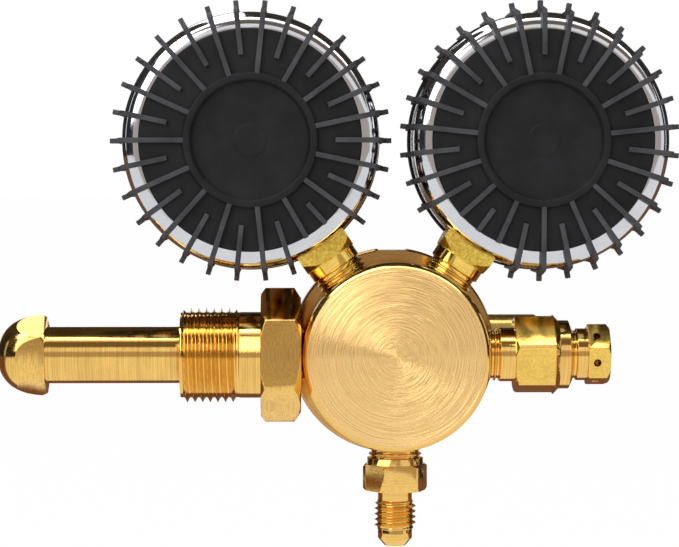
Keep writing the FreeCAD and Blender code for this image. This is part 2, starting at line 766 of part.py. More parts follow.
def build_outlet():
    """The male flare fitting that the hose screws on to."""
    fitting = turned("outlet_fitting", [
        ("flare_bore", "port_floor + travel_gap"), *pipe_end(8),
        ("pipe_thread_root", "body_radius + outlet_thread_end"),
        ("outlet_collar_radius", "body_radius + outlet_collar_start"),
        ("outlet_collar_radius", "outlet_hex_start"),
        ("outlet_corner_radius - outlet_bevel", "outlet_hex_start"),
        ("outlet_corner_radius", "outlet_hex_start + outlet_bevel_length"),
        ("outlet_corner_radius", "outlet_hex_end - outlet_bevel_length"),
        ("outlet_corner_radius - outlet_bevel", "outlet_hex_end"),
        ("flare_neck_radius", "outlet_hex_end"), ("flare_neck_radius", "flare_thread_start"),
        *ridges("flare_thread_start", "flare_pitch", "flare_thread_radius", "flare_thread_root", 5),
        ("flare_nose_radius", "flare_nose_start"), ("flare_nose_radius", "flare_cone_start"),
        ("flare_bore + flare_lip", "flare_end"), ("flare_bore", "flare_end")])
    mill_flats(fitting, "outlet_hex", "outlet_hex_start", "outlet_hex_end", turn="-outlet_turn")
    place(fitting, PORTS, **OUTLET)


def build_relief():
    """The relief valve: body, seal, poppet, spring and the vented cap that holds them in."""
    housing = turned("relief_body", [
        ("relief_inlet", "port_floor + travel_gap"), *pipe_end(8),
        ("pipe_thread_root", "body_radius + relief_thread_end"),
        ("relief_neck_radius", "body_radius + relief_neck_start"), ("relief_neck_radius", "relief_hex_start"),
        ("relief_corner_radius - relief_rear_bevel", "relief_hex_start"),
        ("relief_corner_radius", "relief_hex_start + relief_rear_bevel_length"),
        ("relief_corner_radius", "relief_hex_end"),
        ("relief_step_radius", "relief_hex_end + relief_front_bevel_length"),
        ("relief_step_radius", "relief_step_end"),
        ("relief_end_radius + relief_groove_rim", "relief_step_end + relief_step_bevel_length"),
        ("relief_end_radius - relief_groove", "relief_step_end + relief_groove_start"),
        ("relief_end_radius - relief_groove", "relief_step_end + relief_groove_floor_end"),
        ("relief_end_radius", "relief_step_end + relief_groove_end"), ("relief_end_radius", "relief_end"),
        ("relief_bore", "relief_end"), ("relief_bore", "relief_seat"), ("relief_inlet", "relief_seat")])
    mill_flats(housing, "relief_hex", "relief_hex_start", "relief_hex_end", turn="-relief_turn")
    seal_back = "relief_seat + seat_gap"
    seal_front = f"{seal_back} + relief_seal_height"
    seal = turned("relief_seal", [("0", seal_back), ("relief_seal_radius", seal_back),
                                  ("relief_seal_radius", seal_front), ("0", seal_front)])
    poppet_front = f"{seal_front} + relief_poppet_height"
    cup, land = f"{seal_back} + relief_seal_proud", f"{poppet_front} - relief_guide_height"
    guide_radius = "relief_coil - relief_wire - fit_gap"
    poppet = turned("relief_poppet", [
        ("0", seal_front), ("relief_seal_radius + fit_gap", seal_front),
        ("relief_seal_radius + fit_gap", cup), ("relief_poppet_radius", cup),
        ("relief_poppet_radius", land), (guide_radius, land), (guide_radius, poppet_front),
        ("0", poppet_front)])
    plug_start = "relief_end - relief_cap_depth"
    corner = "relief_cap_hex / 2 / cos(30)"
    cap = turned("relief_cap", [
        ("relief_cap_bore", plug_start), ("relief_cap_plug", plug_start), ("relief_cap_plug", "relief_end"),
        (f"{corner} - relief_cap_edge", "relief_end"), (corner, "relief_end + relief_cap_edge"),
        (corner, "relief_cap_end - relief_cap_bevel"), (f"{corner} - relief_cap_bevel", "relief_cap_end"),
        ("0", "relief_cap_end"), ("0", "relief_cap_end - relief_cap_wall"),
        ("relief_cap_bore", "relief_cap_end - relief_cap_wall")])
    mill_flats(cap, "relief_cap_hex", "relief_end", "relief_cap_end", turn="-relief_turn")
    turn = -size("relief_turn")
    outward = Vector(math.cos(math.radians(turn)), math.sin(math.radians(turn)), 0)
    vent = drill(cap, ("0", "0", "vent_place"), towards(outward), "vent_radius", "relief_cap_hex")
    repeat(cap, vent, VENT_COUNT)
    for piece in (housing, seal, poppet, cap):
        place(piece, PORTS, **RELIEF)
    add_spring("relief_spring", "relief_wire", "relief_coil", f"{land} + fit_gap",
               f"{plug_start} - fit_gap", PORTS, RELIEF)


# ---------------------------------------------------------------- gauges

def place_in_gauge(piece, side):
    """Put a piece of a gauge in its place: side is -1 for the left gauge and 1 for the right."""
    lean = math.radians(side * size("gauge_angle"))
    base = (f"{side} * gauge_distance * sin(gauge_angle)", "0", "gauge_distance * cos(gauge_angle)")
    place(piece, base, up=Vector(0, 1, 0), side=Vector(-math.cos(lean), 0, math.sin(lean)))


def block_opening(body, across, back, front, start, length):
    """Cut a rectangular opening up from below, round the gauge's block."""
    doc.recompute()
    turn = Rotation(Vector(1, 0, 0), Vector(0, 0, -1), Vector(0, 1, 0), "ZXY")
    sketch = new_sketch(body, ("0", start, "0"), "XY_Plane", turn)
    draw(sketch, [(f"-({across}) / 2", f"-({back})"), (f"({across}) / 2", f"-({back})"),
                  (f"({across}) / 2", f"-({front})"), (f"-({across}) / 2", f"-({front})")])
    return cut(body, sketch, length)


def add_socket(name, side):
    """The brass socket: pipe-threaded stem, square block and the holder of the Bourdon tube."""
    socket = new_body(name + "_socket")
    down = "-gauge_distance"
    stem = [(radius, f"{down} + {height}") for radius, height in pipe_end(8)]
    revolve(socket, [
        ("passage_radius", f"{down} + port_floor + travel_gap"), *stem,
        ("pipe_thread_root", f"{down} + neck_start"),
        ("pipe_thread_radius", f"{down} + neck_start + neck_bevel"),
        ("pipe_thread_radius", f"{down} + block_start + block_overlap"),
        ("passage_radius", f"{down} + block_start + block_overlap")],
        base=("0", "0", "port_plane"), plane="XY_Plane")
    doc.recompute()
    upright = Rotation(Vector(1, 0, 0), Vector(0, 0, -1), Vector(0, 1, 0), "ZXY")
    half = "block_side / 2"
    for across, back, front, start, end in (
            (half, f"port_plane - {half}", f"port_plane + {half}", f"{down} + block_start", "-block_end"),
            (f"({half} - fit_gap)", "movement_back - holder_depth", "movement_back", "-block_end",
             "-holder_reach")):
        sketch = new_sketch(socket, ("0", start, "0"), "XY_Plane", upright)
        draw(sketch, [(f"-{across}", f"-({back})"), (across, f"-({back})"),
                      (across, f"-({front})"), (f"-{across}", f"-({front})")])
        extrude(socket, sketch, f"{end} - ({start})")
    block_floor = f"{down} + block_start"
    revolve(socket, [
        ("block_corner", f"{block_floor} - fit_gap"), ("block_side", f"{block_floor} - fit_gap"),
        ("block_side", f"{block_floor} + block_side - block_corner"),
        ("block_corner", f"{block_floor} + block_corner_run")],
        kind="Groove", base=("0", "0", "port_plane"), plane="XY_Plane")
    doc.recompute()
    drill(socket, ("0", f"{down} + block_start", "port_plane"), upright, "passage_radius",
          "gauge_distance - block_start - holder_reach - holder_depth + overcut")
    place_in_gauge(socket, side)


def add_case(name, side):
    """The pressed case, the bezel, the gasket and the lens."""
    inner = "case_radius - case_wall"
    case = turned(name + "_case", [
        ("0", "case_back"), ("case_radius - case_corner", "case_back", "case_corner"),
        ("case_radius", "case_back + case_corner"), ("case_radius", "case_front"), (inner, "case_front"),
        (inner, "case_back + case_corner", "-(case_corner - case_wall)"),
        ("case_radius - case_corner", "case_back + case_wall"), ("0", "case_back + case_wall")])
    block_opening(case, "block_side + 2 * fit_gap", "port_plane - block_side / 2 - fit_gap",
                  "port_plane + block_side / 2 + fit_gap", "-case_radius - overcut",
                  "case_corner + 3 * overcut")
    bezel = turned(name + "_bezel", [
        ("lens_radius + fit_gap", "case_front - bezel_skirt"),
        (f"{inner} - fit_gap", "case_front - bezel_skirt"),
        (f"{inner} - fit_gap", "case_front"), ("case_radius", "case_front"),
        ("case_radius", "bezel_front - bezel_corner", "bezel_corner"),
        ("case_radius - bezel_corner", "bezel_front"), ("bezel_lip_radius + bezel_lip_slope", "bezel_front"),
        ("bezel_lip_radius", "bezel_lip_back + bezel_lip_land"),
        ("bezel_lip_radius", "bezel_lip_back"), ("lens_radius + fit_gap", "bezel_lip_back")])
    dial_front = "dial_back + dial_thickness"
    gasket = turned(name + "_gasket", [
        ("lens_radius - gasket_wall", dial_front), ("lens_radius - fit_gap", dial_front),
        ("lens_radius - fit_gap", "lens_back"), ("lens_radius - gasket_wall", "lens_back")])
    lens = turned(name + "_lens", [("0", "lens_back"), ("lens_radius", "lens_back"),
                                   ("lens_radius", "bezel_lip_back"), ("0", "bezel_lip_back")])
    for piece in (case, bezel, gasket, lens):
        place_in_gauge(piece, side)


def add_boot(name, side):
    """The rubber boot: a back disc, a front band and the fins that join them round the case."""
    boot = new_body(name + "_boot")
    front = "case_back - boot_gap"
    floor = "boot_back + boot_recess"
    band_inner = "case_radius + boot_gap"
    revolve(boot, [
        ("0", f"{floor} - boot_boss_height"), ("boot_boss_radius", f"{floor} - boot_boss_height"),
        ("boot_boss_radius + boot_ring_bevel", floor), ("boot_ring_inner - boot_ring_slope", floor),
        ("boot_ring_inner", "boot_ring_back + boot_ring_bevel"),
        ("boot_ring_inner + boot_ring_bevel", "boot_ring_back"),
        ("boot_ring_outer - boot_ring_bevel", "boot_ring_back"),
        ("boot_ring_outer", "boot_ring_back + boot_ring_bevel"),
        ("boot_ring_outer + boot_ring_bevel", "boot_back"), ("boot_radius - boot_edge", "boot_back"),
        ("boot_radius", "boot_back + boot_edge"), ("boot_radius", front), ("0", front)])
    revolve(boot, [(band_inner, "boot_band_back"), (f"{band_inner} + boot_band", "boot_band_back"),
                   (f"{band_inner} + boot_band", "boot_band_front"), (band_inner, "boot_band_front")])
    outer = [("fin_shoulder - fin_bevel", "fin_back"), ("fin_shoulder", "fin_back + fin_bevel"),
             ("fin_front_radius", "lug_back"), ("lug_radius", "lug_back + lug_slope"),
             ("lug_radius", "lug_front"), ("rib_radius", "lug_front"),
             ("rib_radius", "boot_band_front"), (band_inner, "boot_band_front"),
             (band_inner, "case_back + case_corner", "-(case_corner + boot_gap)"),
             ("case_radius - case_corner", front)]
    long_root = ("boot_ring_outer - fin_root_overlap", "boot_ring_back + fin_rise", "0")
    short_root = ("short_fin_start", "fin_back", f"{180 / FIN_PAIRS}")
    for start, back, shift in (long_root, short_root):
        angle = f"-90 + {name}_fin_phase + {shift}"
        upright = Rotation(Vector(0, 0, 1), size(angle)) * Rotation(Vector(1, 0, 0), 90)
        sketch = new_sketch(boot, turn=upright)
        draw(sketch, [(start, front), (start, back), *outer])
        fin = extrude(boot, sketch, "fin_thickness", middle=True)
        repeat(boot, fin, FIN_PAIRS)
    block_opening(boot, "block_side + 2 * travel_gap", "case_back - boot_gap", "boot_band_front + overcut",
                  "-lug_radius - overcut", "lug_radius + overcut - boot_radius - fit_gap")
    place_in_gauge(boot, side)


def add_tube(name, side):
    """The C-shaped Bourdon tube, and the end piece brazed on its tip."""
    back, depth, width = size("bourdon_back"), size("bourdon_depth"), size("bourdon_width")

    def oval(inset):
        half, low, high = width / 2 - inset, back + width / 2, back + depth - width / 2
        middle = size("tube_coil_radius")
        left, right = middle - half, middle + half
        left_low, left_high, right_low, right_high = (
            Vector(across, 0, height) for across in (left, right) for height in (low, high))
        return Part.Wire([
            Part.LineSegment(left_high, left_low).toShape(),
            Part.Arc(left_low, Vector(middle, 0, low - half), right_low).toShape(),
            Part.LineSegment(right_low, right_high).toShape(),
            Part.Arc(right_high, Vector(middle, 0, high + half), left_high).toShape()])

    sweep = size("bourdon_start - bourdon_end")
    outer, bore = (Part.Face(oval(inset)).revolve(Vector(0, 0, 0), Vector(0, 0, 1), sweep)
                   for inset in (0, size("bourdon_wall")))
    shape = outer.cut(bore)
    shape.rotate(Vector(0, 0, 0), Vector(0, 0, 1), size("bourdon_end"))
    reach, half = size("tube_coil_radius"), width / 2
    corner = Vector(reach - half, -size("tip_length"), back)
    block = Part.makeBox(width, size("tip_length"), depth, corner)
    ear = Part.makeBox(width, size("tip_ear"), size("link_back - bourdon_back - tip_ear_gap"), corner)
    pin_base = Vector(reach, -size("tip_pin_place"), size("link_back - travel_gap"))
    pin = Part.makeCylinder(size("link_pin_radius"), size("link_thickness + tip_pin_spare"), pin_base)
    tip_shape = block.fuse([ear, pin]).removeSplitter()
    tip_shape.rotate(Vector(0, 0, 0), Vector(0, 0, 1), size("bourdon_end"))
    place_in_gauge(add_shape(name + "_bourdon_tube", shape), side)
    place_in_gauge(add_shape(name + "_tube_tip", tip_shape), side)


def tip_pin():
    """Where the tube's tip pin stands at rest."""
    turn = Rotation(Vector(0, 0, 1), size("bourdon_end"))
    return turn.multVec(Vector(size("tube_coil_radius"), -size("tip_pin_place"), 0))


def tail_pin():
    """Where the sector's tail pin stands at rest."""
    angle = math.radians(size("tail_angle"))
    tail = Vector(math.cos(angle), math.sin(angle), 0) * size("tail_reach")
    return tail - Vector(0, size("pivot_drop"), 0)


def gear_outline(teeth, kept, first=0):
    """Corners of a gear's teeth: involute flanks thinned for backlash, kept of teeth from the first."""
    module, thinning = size("gear_module"), size("gear_backlash")
    pitch_radius = module * teeth / 2
    pressure = math.radians(PRESSURE_ANGLE)
    base_radius = pitch_radius * math.cos(pressure)
    roll_at_pitch = math.tan(pressure) - pressure
    half_tooth = (math.pi * module / 2 - thinning) / 2 / pitch_radius
    flank = []
    for radius in (pitch_radius - 1.15 * module, pitch_radius - 0.5 * module, pitch_radius,
                   pitch_radius + 0.45 * module, pitch_radius + 0.85 * module):
        roll = math.sqrt(max((radius / base_radius) ** 2 - 1, 0))
        flank.append((radius, half_tooth + roll_at_pitch - (roll - math.atan(roll))))
    corners = []
    for tooth in range(first, first + kept):
        middle = 2 * math.pi * tooth / teeth
        for radius, half in [(radius, -half) for radius, half in flank] + flank[::-1]:
            corners.append(Vector(radius * math.cos(middle + half), radius * math.sin(middle + half), 0))
    return corners


def plate_from(corners, back, thickness):
    """A flat plate of a closed list of corners."""
    face = Part.Face(Part.makePolygon([*corners, corners[0]]))
    plate = face.extrude(Vector(0, 0, thickness))
    plate.translate(Vector(0, 0, back))
    return plate


def add_movement(name, side):
    """The movement: two plates on posts, the toothed sector, the link and the pinion's arbor."""
    drop, thick = size("pivot_drop"), size("movement_plate")
    back, front = size("movement_back"), size("movement_front")
    width, top, foot = size("movement_width"), size("movement_top"), size("movement_foot")
    frame = [Part.makeBox(width, top + foot, thick, Vector(-width / 2, -foot, height))
             for height in (back, front)]
    post = size("movement_post")
    for across in (-width / 2 + post, width / 2 - post):
        for along in (top - post, -foot + post):
            frame.append(Part.makeCylinder(post, front - back, Vector(across, along, back)))
    shape = frame[0].fuse(frame[1:])
    gap = size("running_gap")
    for centre, radius in ((0, size("arbor_radius")), (-drop, size("sector_shaft_radius"))):
        shape = shape.cut(Part.makeCylinder(radius + gap, front + thick, Vector(0, centre, back - 1)))
    place_in_gauge(add_shape(name + "_movement_frame", shape.removeSplitter()), side)

    gear_back, gear_thickness = size("gear_back"), size("gear_thickness")
    pinion_teeth, sector_teeth = int(size("pinion_teeth")), int(size("sector_teeth"))
    pinion = plate_from(gear_outline(pinion_teeth, pinion_teeth), gear_back, gear_thickness)
    # the pinion has a gap, and the sector a tooth, on the line between their centres
    pinion.rotate(Vector(0, 0, 0), Vector(0, 0, 1), -90 + 180 / pinion_teeth)
    arbor = Part.makeCylinder(size("arbor_radius"), size("pointer_back + pointer_hub_height") - back,
                              Vector(0, 0, back))
    place_in_gauge(add_shape(name + "_pinion", pinion.fuse(arbor).removeSplitter()), side)

    sweep_teeth = math.ceil(FULL_SWEEP * pinion_teeth / 360)
    kept = sweep_teeth + SPARE_TEETH
    teeth = gear_outline(sector_teeth, kept, first=SPARE_TEETH // 2 - kept + 1)
    fan = [Rotation(Vector(0, 0, 1), 90).multVec(corner) for corner in teeth]
    hub = Part.makeCylinder(size("sector_hub_radius"), gear_thickness, Vector(0, 0, gear_back))
    wedge = plate_from([Vector(0, 0, 0), *fan], gear_back, gear_thickness)
    tail_angle, reach = size("tail_angle"), size("tail_reach")
    arm_width = size("tail_width")
    arm = Part.makeBox(reach, arm_width, gear_thickness, Vector(0, -arm_width / 2, gear_back))
    knob = Part.makeCylinder(size("link_end_radius"), gear_thickness, Vector(reach, 0, gear_back))
    pin_back = size("link_back - tail_pin_gap")
    pin = Part.makeCylinder(size("link_pin_radius"), gear_back - pin_back, Vector(reach, 0, pin_back))
    tail = arm.fuse([knob, pin])
    tail.rotate(Vector(0, 0, 0), Vector(0, 0, 1), tail_angle)
    shaft = Part.makeCylinder(size("sector_shaft_radius"), front + thick - back, Vector(0, 0, back))
    sector_shape = hub.fuse([wedge, tail, shaft]).removeSplitter()
    sector_shape.translate(Vector(0, -drop, 0))
    place_in_gauge(add_shape(name + "_sector_gear", sector_shape), side)

    ends = (tail_pin(), tip_pin())
    link_back, link_thickness = size("link_back"), size("link_thickness")
    span = ends[1] - ends[0]
    link_width = size("link_width")
    bar = Part.makeBox(span.Length, link_width, link_thickness, Vector(0, -link_width / 2, link_back))
    bar.rotate(Vector(0, 0, 0), Vector(0, 0, 1), math.degrees(math.atan2(span.y, span.x)))
    bar.translate(ends[0])
    link_shape = bar
    for end in ends:
        link_shape = link_shape.fuse(Part.makeCylinder(size("link_end_radius"), link_thickness,
                                                       Vector(end.x, end.y, link_back)))
    for end in ends:
        link_shape = link_shape.cut(Part.makeCylinder(size("link_pin_radius") + gap, link_thickness + 2,
                                                      Vector(end.x, end.y, link_back - 1)))
    place_in_gauge(add_shape(name + "_link", link_shape.removeSplitter()), side)


def add_dial(name, side):
    """The dial, its two screws on their pillars, and the pointer."""
    dial_front = "dial_back + dial_thickness"
    dial = turned(name + "_dial", [("dial_hole", "dial_back"), ("dial_radius", "dial_back"),
                                   ("dial_radius", dial_front), ("dial_hole", dial_front)])
    doc.recompute()
    for across in ("dial_screw_place", "-dial_screw_place"):
        drill(dial, (across, "0", "dial_back - overcut"), Rotation(), "dial_screw_radius + fit_gap",
              "dial_thickness + 2 * overcut")
    place_in_gauge(dial, side)
    screws = []
    base = size("movement_front + movement_plate")
    front = size(dial_front)
    head_radius, head_height = size("dial_screw_head"), size("dial_screw_head_height")
    foot_length, foot_width = size("dial_foot_length"), size("dial_foot_width")
    slot_width = size("dial_screw_slot")
    for across in (-1, 1):
        centre = Vector(across * size("dial_screw_place"), 0, base)
        pillar = Part.makeCylinder(head_radius, size("dial_back") - base, centre)
        foot_corner = Vector(across * size("movement_width / 2") - foot_length / 2, -foot_width / 2, base)
        foot = Part.makeBox(foot_length, foot_width, size("dial_foot_height"), foot_corner)
        shank = Part.makeCylinder(size("dial_screw_radius"), front - base, centre)
        head = Part.makeCylinder(head_radius, head_height, Vector(centre.x, centre.y, front))
        slot_corner = Vector(centre.x - 2 * head_radius, centre.y - slot_width / 2, front + head_height / 2)
        slot = Part.makeBox(4 * head_radius, slot_width, head_height, slot_corner)
        screws.append(pillar.fuse([foot, shank, head]).cut(slot).removeSplitter())
    place_in_gauge(add_shape(name + "_dial_screws", Part.makeCompound(screws)), side)
    back, length, tail = size("pointer_back"), size("pointer_length"), size("pointer_tail")
    half, waist, half_tail = (size("pointer_half_" + part) for part in ("width", "waist", "tail"))
    shoulder = 0.75 * length
    blade = plate_from([Vector(-half, 0, 0), Vector(-waist, shoulder, 0), Vector(0, length, 0),
                        Vector(waist, shoulder, 0), Vector(half, 0, 0), Vector(half_tail, -tail, 0),
                        Vector(-half_tail, -tail, 0)], back, size("pointer_thickness"))
    hub_height, overcut = size("pointer_hub_height"), size("overcut")
    hub = Part.makeCylinder(size("pointer_hub_radius"), hub_height, Vector(0, 0, back))
    bore = Part.makeCylinder(size("arbor_radius + fit_gap"), hub_height + 2 * overcut,
                             Vector(0, 0, back - overcut))
    shape = blade.fuse(hub).cut(bore).removeSplitter()
    shape.rotate(Vector(0, 0, 0), Vector(0, 0, 1), -size("pointer_start"))
    place_in_gauge(add_shape(name + "_pointer", shape), side)


def build_gauge(name, side):
    """One gauge: socket, tube, movement, dial, case and boot."""
    add_socket(name, side)
    add_tube(name, side)
    add_movement(name, side)
    add_dial(name, side)
    add_case(name, side)
    add_boot(name, side)


# ---------------------------------------------------------------- checks and files

def check_and_write():
    """Stop if anything failed to build, then write each piece to its own file."""
    doc.recompute()
    failed = [item.Label for item in doc.Objects if {"Invalid", "Error"} & set(item.State)]
    for piece in pieces:
        if piece.Shape.isNull() or not piece.Shape.isValid() or not piece.Shape.Solids:
            failed.append(piece.Label)
    if failed:
        raise ValueError("not built: " + ", ".join(failed))
    os.makedirs("parts", exist_ok=True)
    for piece in pieces:
        piece.Shape.exportStep(os.path.join("parts", piece.Label + ".step"))
    print(len(pieces), "pieces written")


fill_sheet()
build_body()
build_valve()
add_spring("return_spring", "return_wire", "return_coil", "high_chamber_floor",
           "nozzle_base - seat_gap - poppet_height")
build_diaphragm()
build_bonnet()
build_screw()
build_handle()
add_spring("adjusting_spring", "spring_wire", "spring_coil",
           "spigot_depth + diaphragm_thickness + plate_height", "button_rim - button_height")
build_inlet()
build_outlet()
build_relief()
build_gauge("left", -1)
build_gauge("right", 1)
check_and_write()
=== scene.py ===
"""Looks of a two-gauge regulator for a compressed-gas cylinder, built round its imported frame.

Frame, in metres: the origin is the centre of the body's flat back face. +Y runs along the
adjusting screw towards the dials, +Z is up between the two gauges and the inlet points along
-X. Sizes in the classes are in millimetres and are turned into metres by MM.
"""
import json
import logging
import math
from dataclasses import dataclass
from enum import Enum
from typing import Callable, Iterable, Sequence

import bmesh
import bpy
from mathutils import Matrix, Vector

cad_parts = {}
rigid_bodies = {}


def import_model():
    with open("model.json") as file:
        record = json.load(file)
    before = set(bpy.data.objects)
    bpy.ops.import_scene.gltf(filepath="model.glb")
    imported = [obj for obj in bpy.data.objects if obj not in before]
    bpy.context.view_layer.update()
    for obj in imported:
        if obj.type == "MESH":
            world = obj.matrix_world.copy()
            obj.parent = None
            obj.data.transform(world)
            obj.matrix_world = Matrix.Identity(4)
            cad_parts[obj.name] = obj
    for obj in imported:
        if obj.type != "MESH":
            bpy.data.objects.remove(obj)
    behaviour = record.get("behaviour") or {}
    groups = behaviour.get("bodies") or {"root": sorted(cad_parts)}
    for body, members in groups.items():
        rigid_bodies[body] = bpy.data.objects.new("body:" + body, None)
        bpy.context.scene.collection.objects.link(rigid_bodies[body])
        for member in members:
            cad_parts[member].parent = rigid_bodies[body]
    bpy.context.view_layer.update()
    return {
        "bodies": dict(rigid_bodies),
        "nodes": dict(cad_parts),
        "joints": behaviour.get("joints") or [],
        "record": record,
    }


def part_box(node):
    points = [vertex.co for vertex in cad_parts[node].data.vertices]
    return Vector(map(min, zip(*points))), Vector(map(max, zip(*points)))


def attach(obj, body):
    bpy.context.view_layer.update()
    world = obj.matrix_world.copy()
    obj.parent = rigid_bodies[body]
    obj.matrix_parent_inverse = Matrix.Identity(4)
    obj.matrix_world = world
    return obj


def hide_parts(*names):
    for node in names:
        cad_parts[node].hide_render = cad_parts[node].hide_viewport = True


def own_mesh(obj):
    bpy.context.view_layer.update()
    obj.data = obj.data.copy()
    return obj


MM = 0.001
FRAME: dict = {}
LOG = logging.getLogger("regulator")
Colour = tuple[float, float, float]
Profile = Sequence[tuple[float, float]]


# ---------------------------------------------------------------- node trees

class Signal:
    """A node's output that takes part in Python expressions."""

    def __init__(self, board: "Board", socket: bpy.types.NodeSocket) -> None:
        """Wrap a socket of a board's tree."""
        self.board = board
        self.socket = socket

    def __add__(self, other: object) -> "Signal":
        """Sum of two numbers."""
        return self.board.maths("ADD", self, other)

    def __sub__(self, other: object) -> "Signal":
        """Difference of two numbers."""
        return self.board.maths("SUBTRACT", self, other)

    def __rsub__(self, other: object) -> "Signal":
        """Difference, with this number taken away."""
        return self.board.maths("SUBTRACT", other, self)

    def __mul__(self, other: object) -> "Signal":
        """Product of two numbers."""
        return self.board.maths("MULTIPLY", self, other)

    def __truediv__(self, other: object) -> "Signal":
        """Quotient of two numbers."""
        return self.board.maths("DIVIDE", self, other)

    def __pow__(self, other: object) -> "Signal":
        """This number raised to a power."""
        return self.board.maths("POWER", self, other)

    def __lt__(self, other: object) -> "Signal":
        """1 where this number is the smaller, else 0."""
        return self.board.maths("LESS_THAN", self, other)

    def __gt__(self, other: object) -> "Signal":
        """1 where this number is the larger, else 0."""
        return self.board.maths("GREATER_THAN", self, other)

    __radd__ = __add__
    __rmul__ = __mul__


class Board:
    """A node tree that is wired by Python expressions."""

    def __init__(self, tree: bpy.types.NodeTree) -> None:
        """Start on an empty tree."""
        self.tree = tree
        tree.nodes.clear()

    def node(self, kind: str, settings: dict | None = None, values: dict | None = None,
             output: int | str = 0) -> Signal:
        """Add a node.

        Args:
            kind: The node's type.
            settings: Its own settings, and under "stops" a colour ramp's stops.
            values: Numbers, colours, data or signals by socket name or number.
            output: The output that is handed back.

        Returns:
            The chosen output, ready for expressions.
        """
        made = self.tree.nodes.new(kind)
        for name, value in (settings or {}).items():
            if name == "stops":
                self._set_stops(made.color_ramp.elements, value)
            else:
                setattr(made, name, value)
        for name, value in (values or {}).items():
            if isinstance(value, Signal):
                self.tree.links.new(value.socket, made.inputs[name])
            else:
                made.inputs[name].default_value = value
        return Signal(self, made.outputs[output]) if made.outputs else Signal(self, None)

    @staticmethod
    def _set_stops(elements: bpy.types.ColorRampElements, stops: Sequence[tuple[float, float]]) -> None:
        """Give a colour ramp its grey stops.

        Args:
            elements: The ramp's stops, of which it has two or more.
            stops: The place and the grey of each stop, from 0 to 1.
        """
        while len(elements) < len(stops):
            elements.new(1.0)
        for element, (place, grey) in zip(elements, stops):
            element.position = place
            element.color = (grey, grey, grey, 1.0)

    def maths(self, operation: str, *terms: object) -> Signal:
        """Add a Math node on up to three numbers."""
        return self.node("ShaderNodeMath", {"operation": operation}, dict(enumerate(terms)))

    def vector_maths(self, operation: str, first: object, second: object, output: int = 0) -> Signal:
        """Add a Vector Math node on two vectors."""
        return self.node("ShaderNodeVectorMath", {"operation": operation}, {0: first, 1: second}, output)

    def vector(self, across: object, along: object, up: object) -> Signal:
        """Join three numbers into a vector."""
        return self.node("ShaderNodeCombineXYZ", None, {0: across, 1: along, 2: up})

    def clamp(self, value: Signal, low: float = 0.0, high: float = 1.0) -> Signal:
        """Hold a number between two others."""
        return self.maths("MINIMUM", self.maths("MAXIMUM", value, low), high)

    def ramp(self, value: Signal, *stops: tuple[float, float]) -> Signal:
        """Map a number through grey stops."""
        return self.node("ShaderNodeValToRGB", {"stops": stops}, {0: value})

    def blend(self, factor: object, first: object, second: object) -> Signal:
        """Mix two colours."""
        first, second = (c if isinstance(c, Signal) else (*c, 1.0) for c in (first, second))
        return self.node("ShaderNodeMix", {"data_type": "RGBA"}, {0: factor, 6: first, 7: second}, 2)

    def noise(self, place: Signal, scale: float, detail: float = 2.0, rough: float = 0.5) -> Signal:
        """Add a noise texture.

        Args:
            place: Where it is read.
            scale: Its grains per unit of place.
            detail: Its number of finer layers.
            rough: How strong the finer layers are.

        Returns:
            The noise, from 0 to 1.
        """
        return self.node("ShaderNodeTexNoise", None,
                         {"Vector": place, "Scale": scale, "Detail": detail, "Roughness": rough})

    def bump(self, height: Signal, depth: float, normal: Signal | None = None) -> Signal:
        """Raise a surface by a height, with depth in metres at full height.

        Args:
            height: The height, from 0 to 1.
            depth: What a height of 1 stands for, in metres.
            normal: The normal of coarser or finer marks below it.

        Returns:
            The new normal.
        """
        values = {"Height": height, "Strength": 1.0, "Distance": depth}
        if normal is not None:
            values["Normal"] = normal
        return self.node("ShaderNodeBump", None, values)


@dataclass(frozen=True)
class Axis:
    """A line that a piece is turned about, in metres."""

    centre: tuple[float, float, float] = (0.0, 0.0, 0.0)
    way: tuple[float, float, float] = (0.0, 1.0, 0.0)

    def frame(self) -> Matrix:
        """The matrix that lays a local +Z on this line."""
        up = Vector(self.way)
        side = Vector((0.0, -1.0, 0.0)) if abs(up.y) < 0.5 else Vector((1.0, 0.0, 0.0))
        return framed(Vector(self.centre), up, side)

    def coordinates(self, board: Board) -> tuple[Signal, Signal, Signal]:
        """Nodes for the distance along, the radius from and the angle round this line.

        Args:
            board: The tree to add to.

        Returns:
            The distance along and the radius in metres, and the angle in radians.
        """
        place = board.node("ShaderNodeTexCoord", None, None, "Object")
        offset = board.vector_maths("SUBTRACT", place, self.centre)
        columns = [tuple(self.frame().col[index][:3]) for index in range(3)]
        across, side, along = (board.vector_maths("DOT_PRODUCT", offset, column, 1) for column in columns)
        radius = (across * across + side * side) ** 0.5
        return along, radius, board.maths("ARCTAN2", side, across)


def framed(origin: Vector, up: Vector, side: Vector) -> Matrix:
    """The matrix of a frame from its origin, its +Z and its +X."""
    across = up.cross(side)
    return Matrix.Translation(origin) @ Matrix((side, across, up)).transposed().to_4x4()


PORT_PLANE = 0.012
SCREW_AXIS = Axis()
INLET_AXIS = Axis((0.0, PORT_PLANE, 0.0), (-1.0, 0.0, 0.0))
RELIEF_AXIS = Axis((0.0, PORT_PLANE, 0.0), (1.0, 0.0, 0.0))
OUTLET_AXIS = Axis((0.0, PORT_PLANE, 0.0), (0.0, 0.0, -1.0))
SEAM = 0.1    # mm that a thread reaches into what it grows from


# ---------------------------------------------------------------- finishes

class Tool(Enum):
    """How a metal surface was cut."""

    LATHE = "lathe"
    MILL = "mill"
    MOULD = "mould"


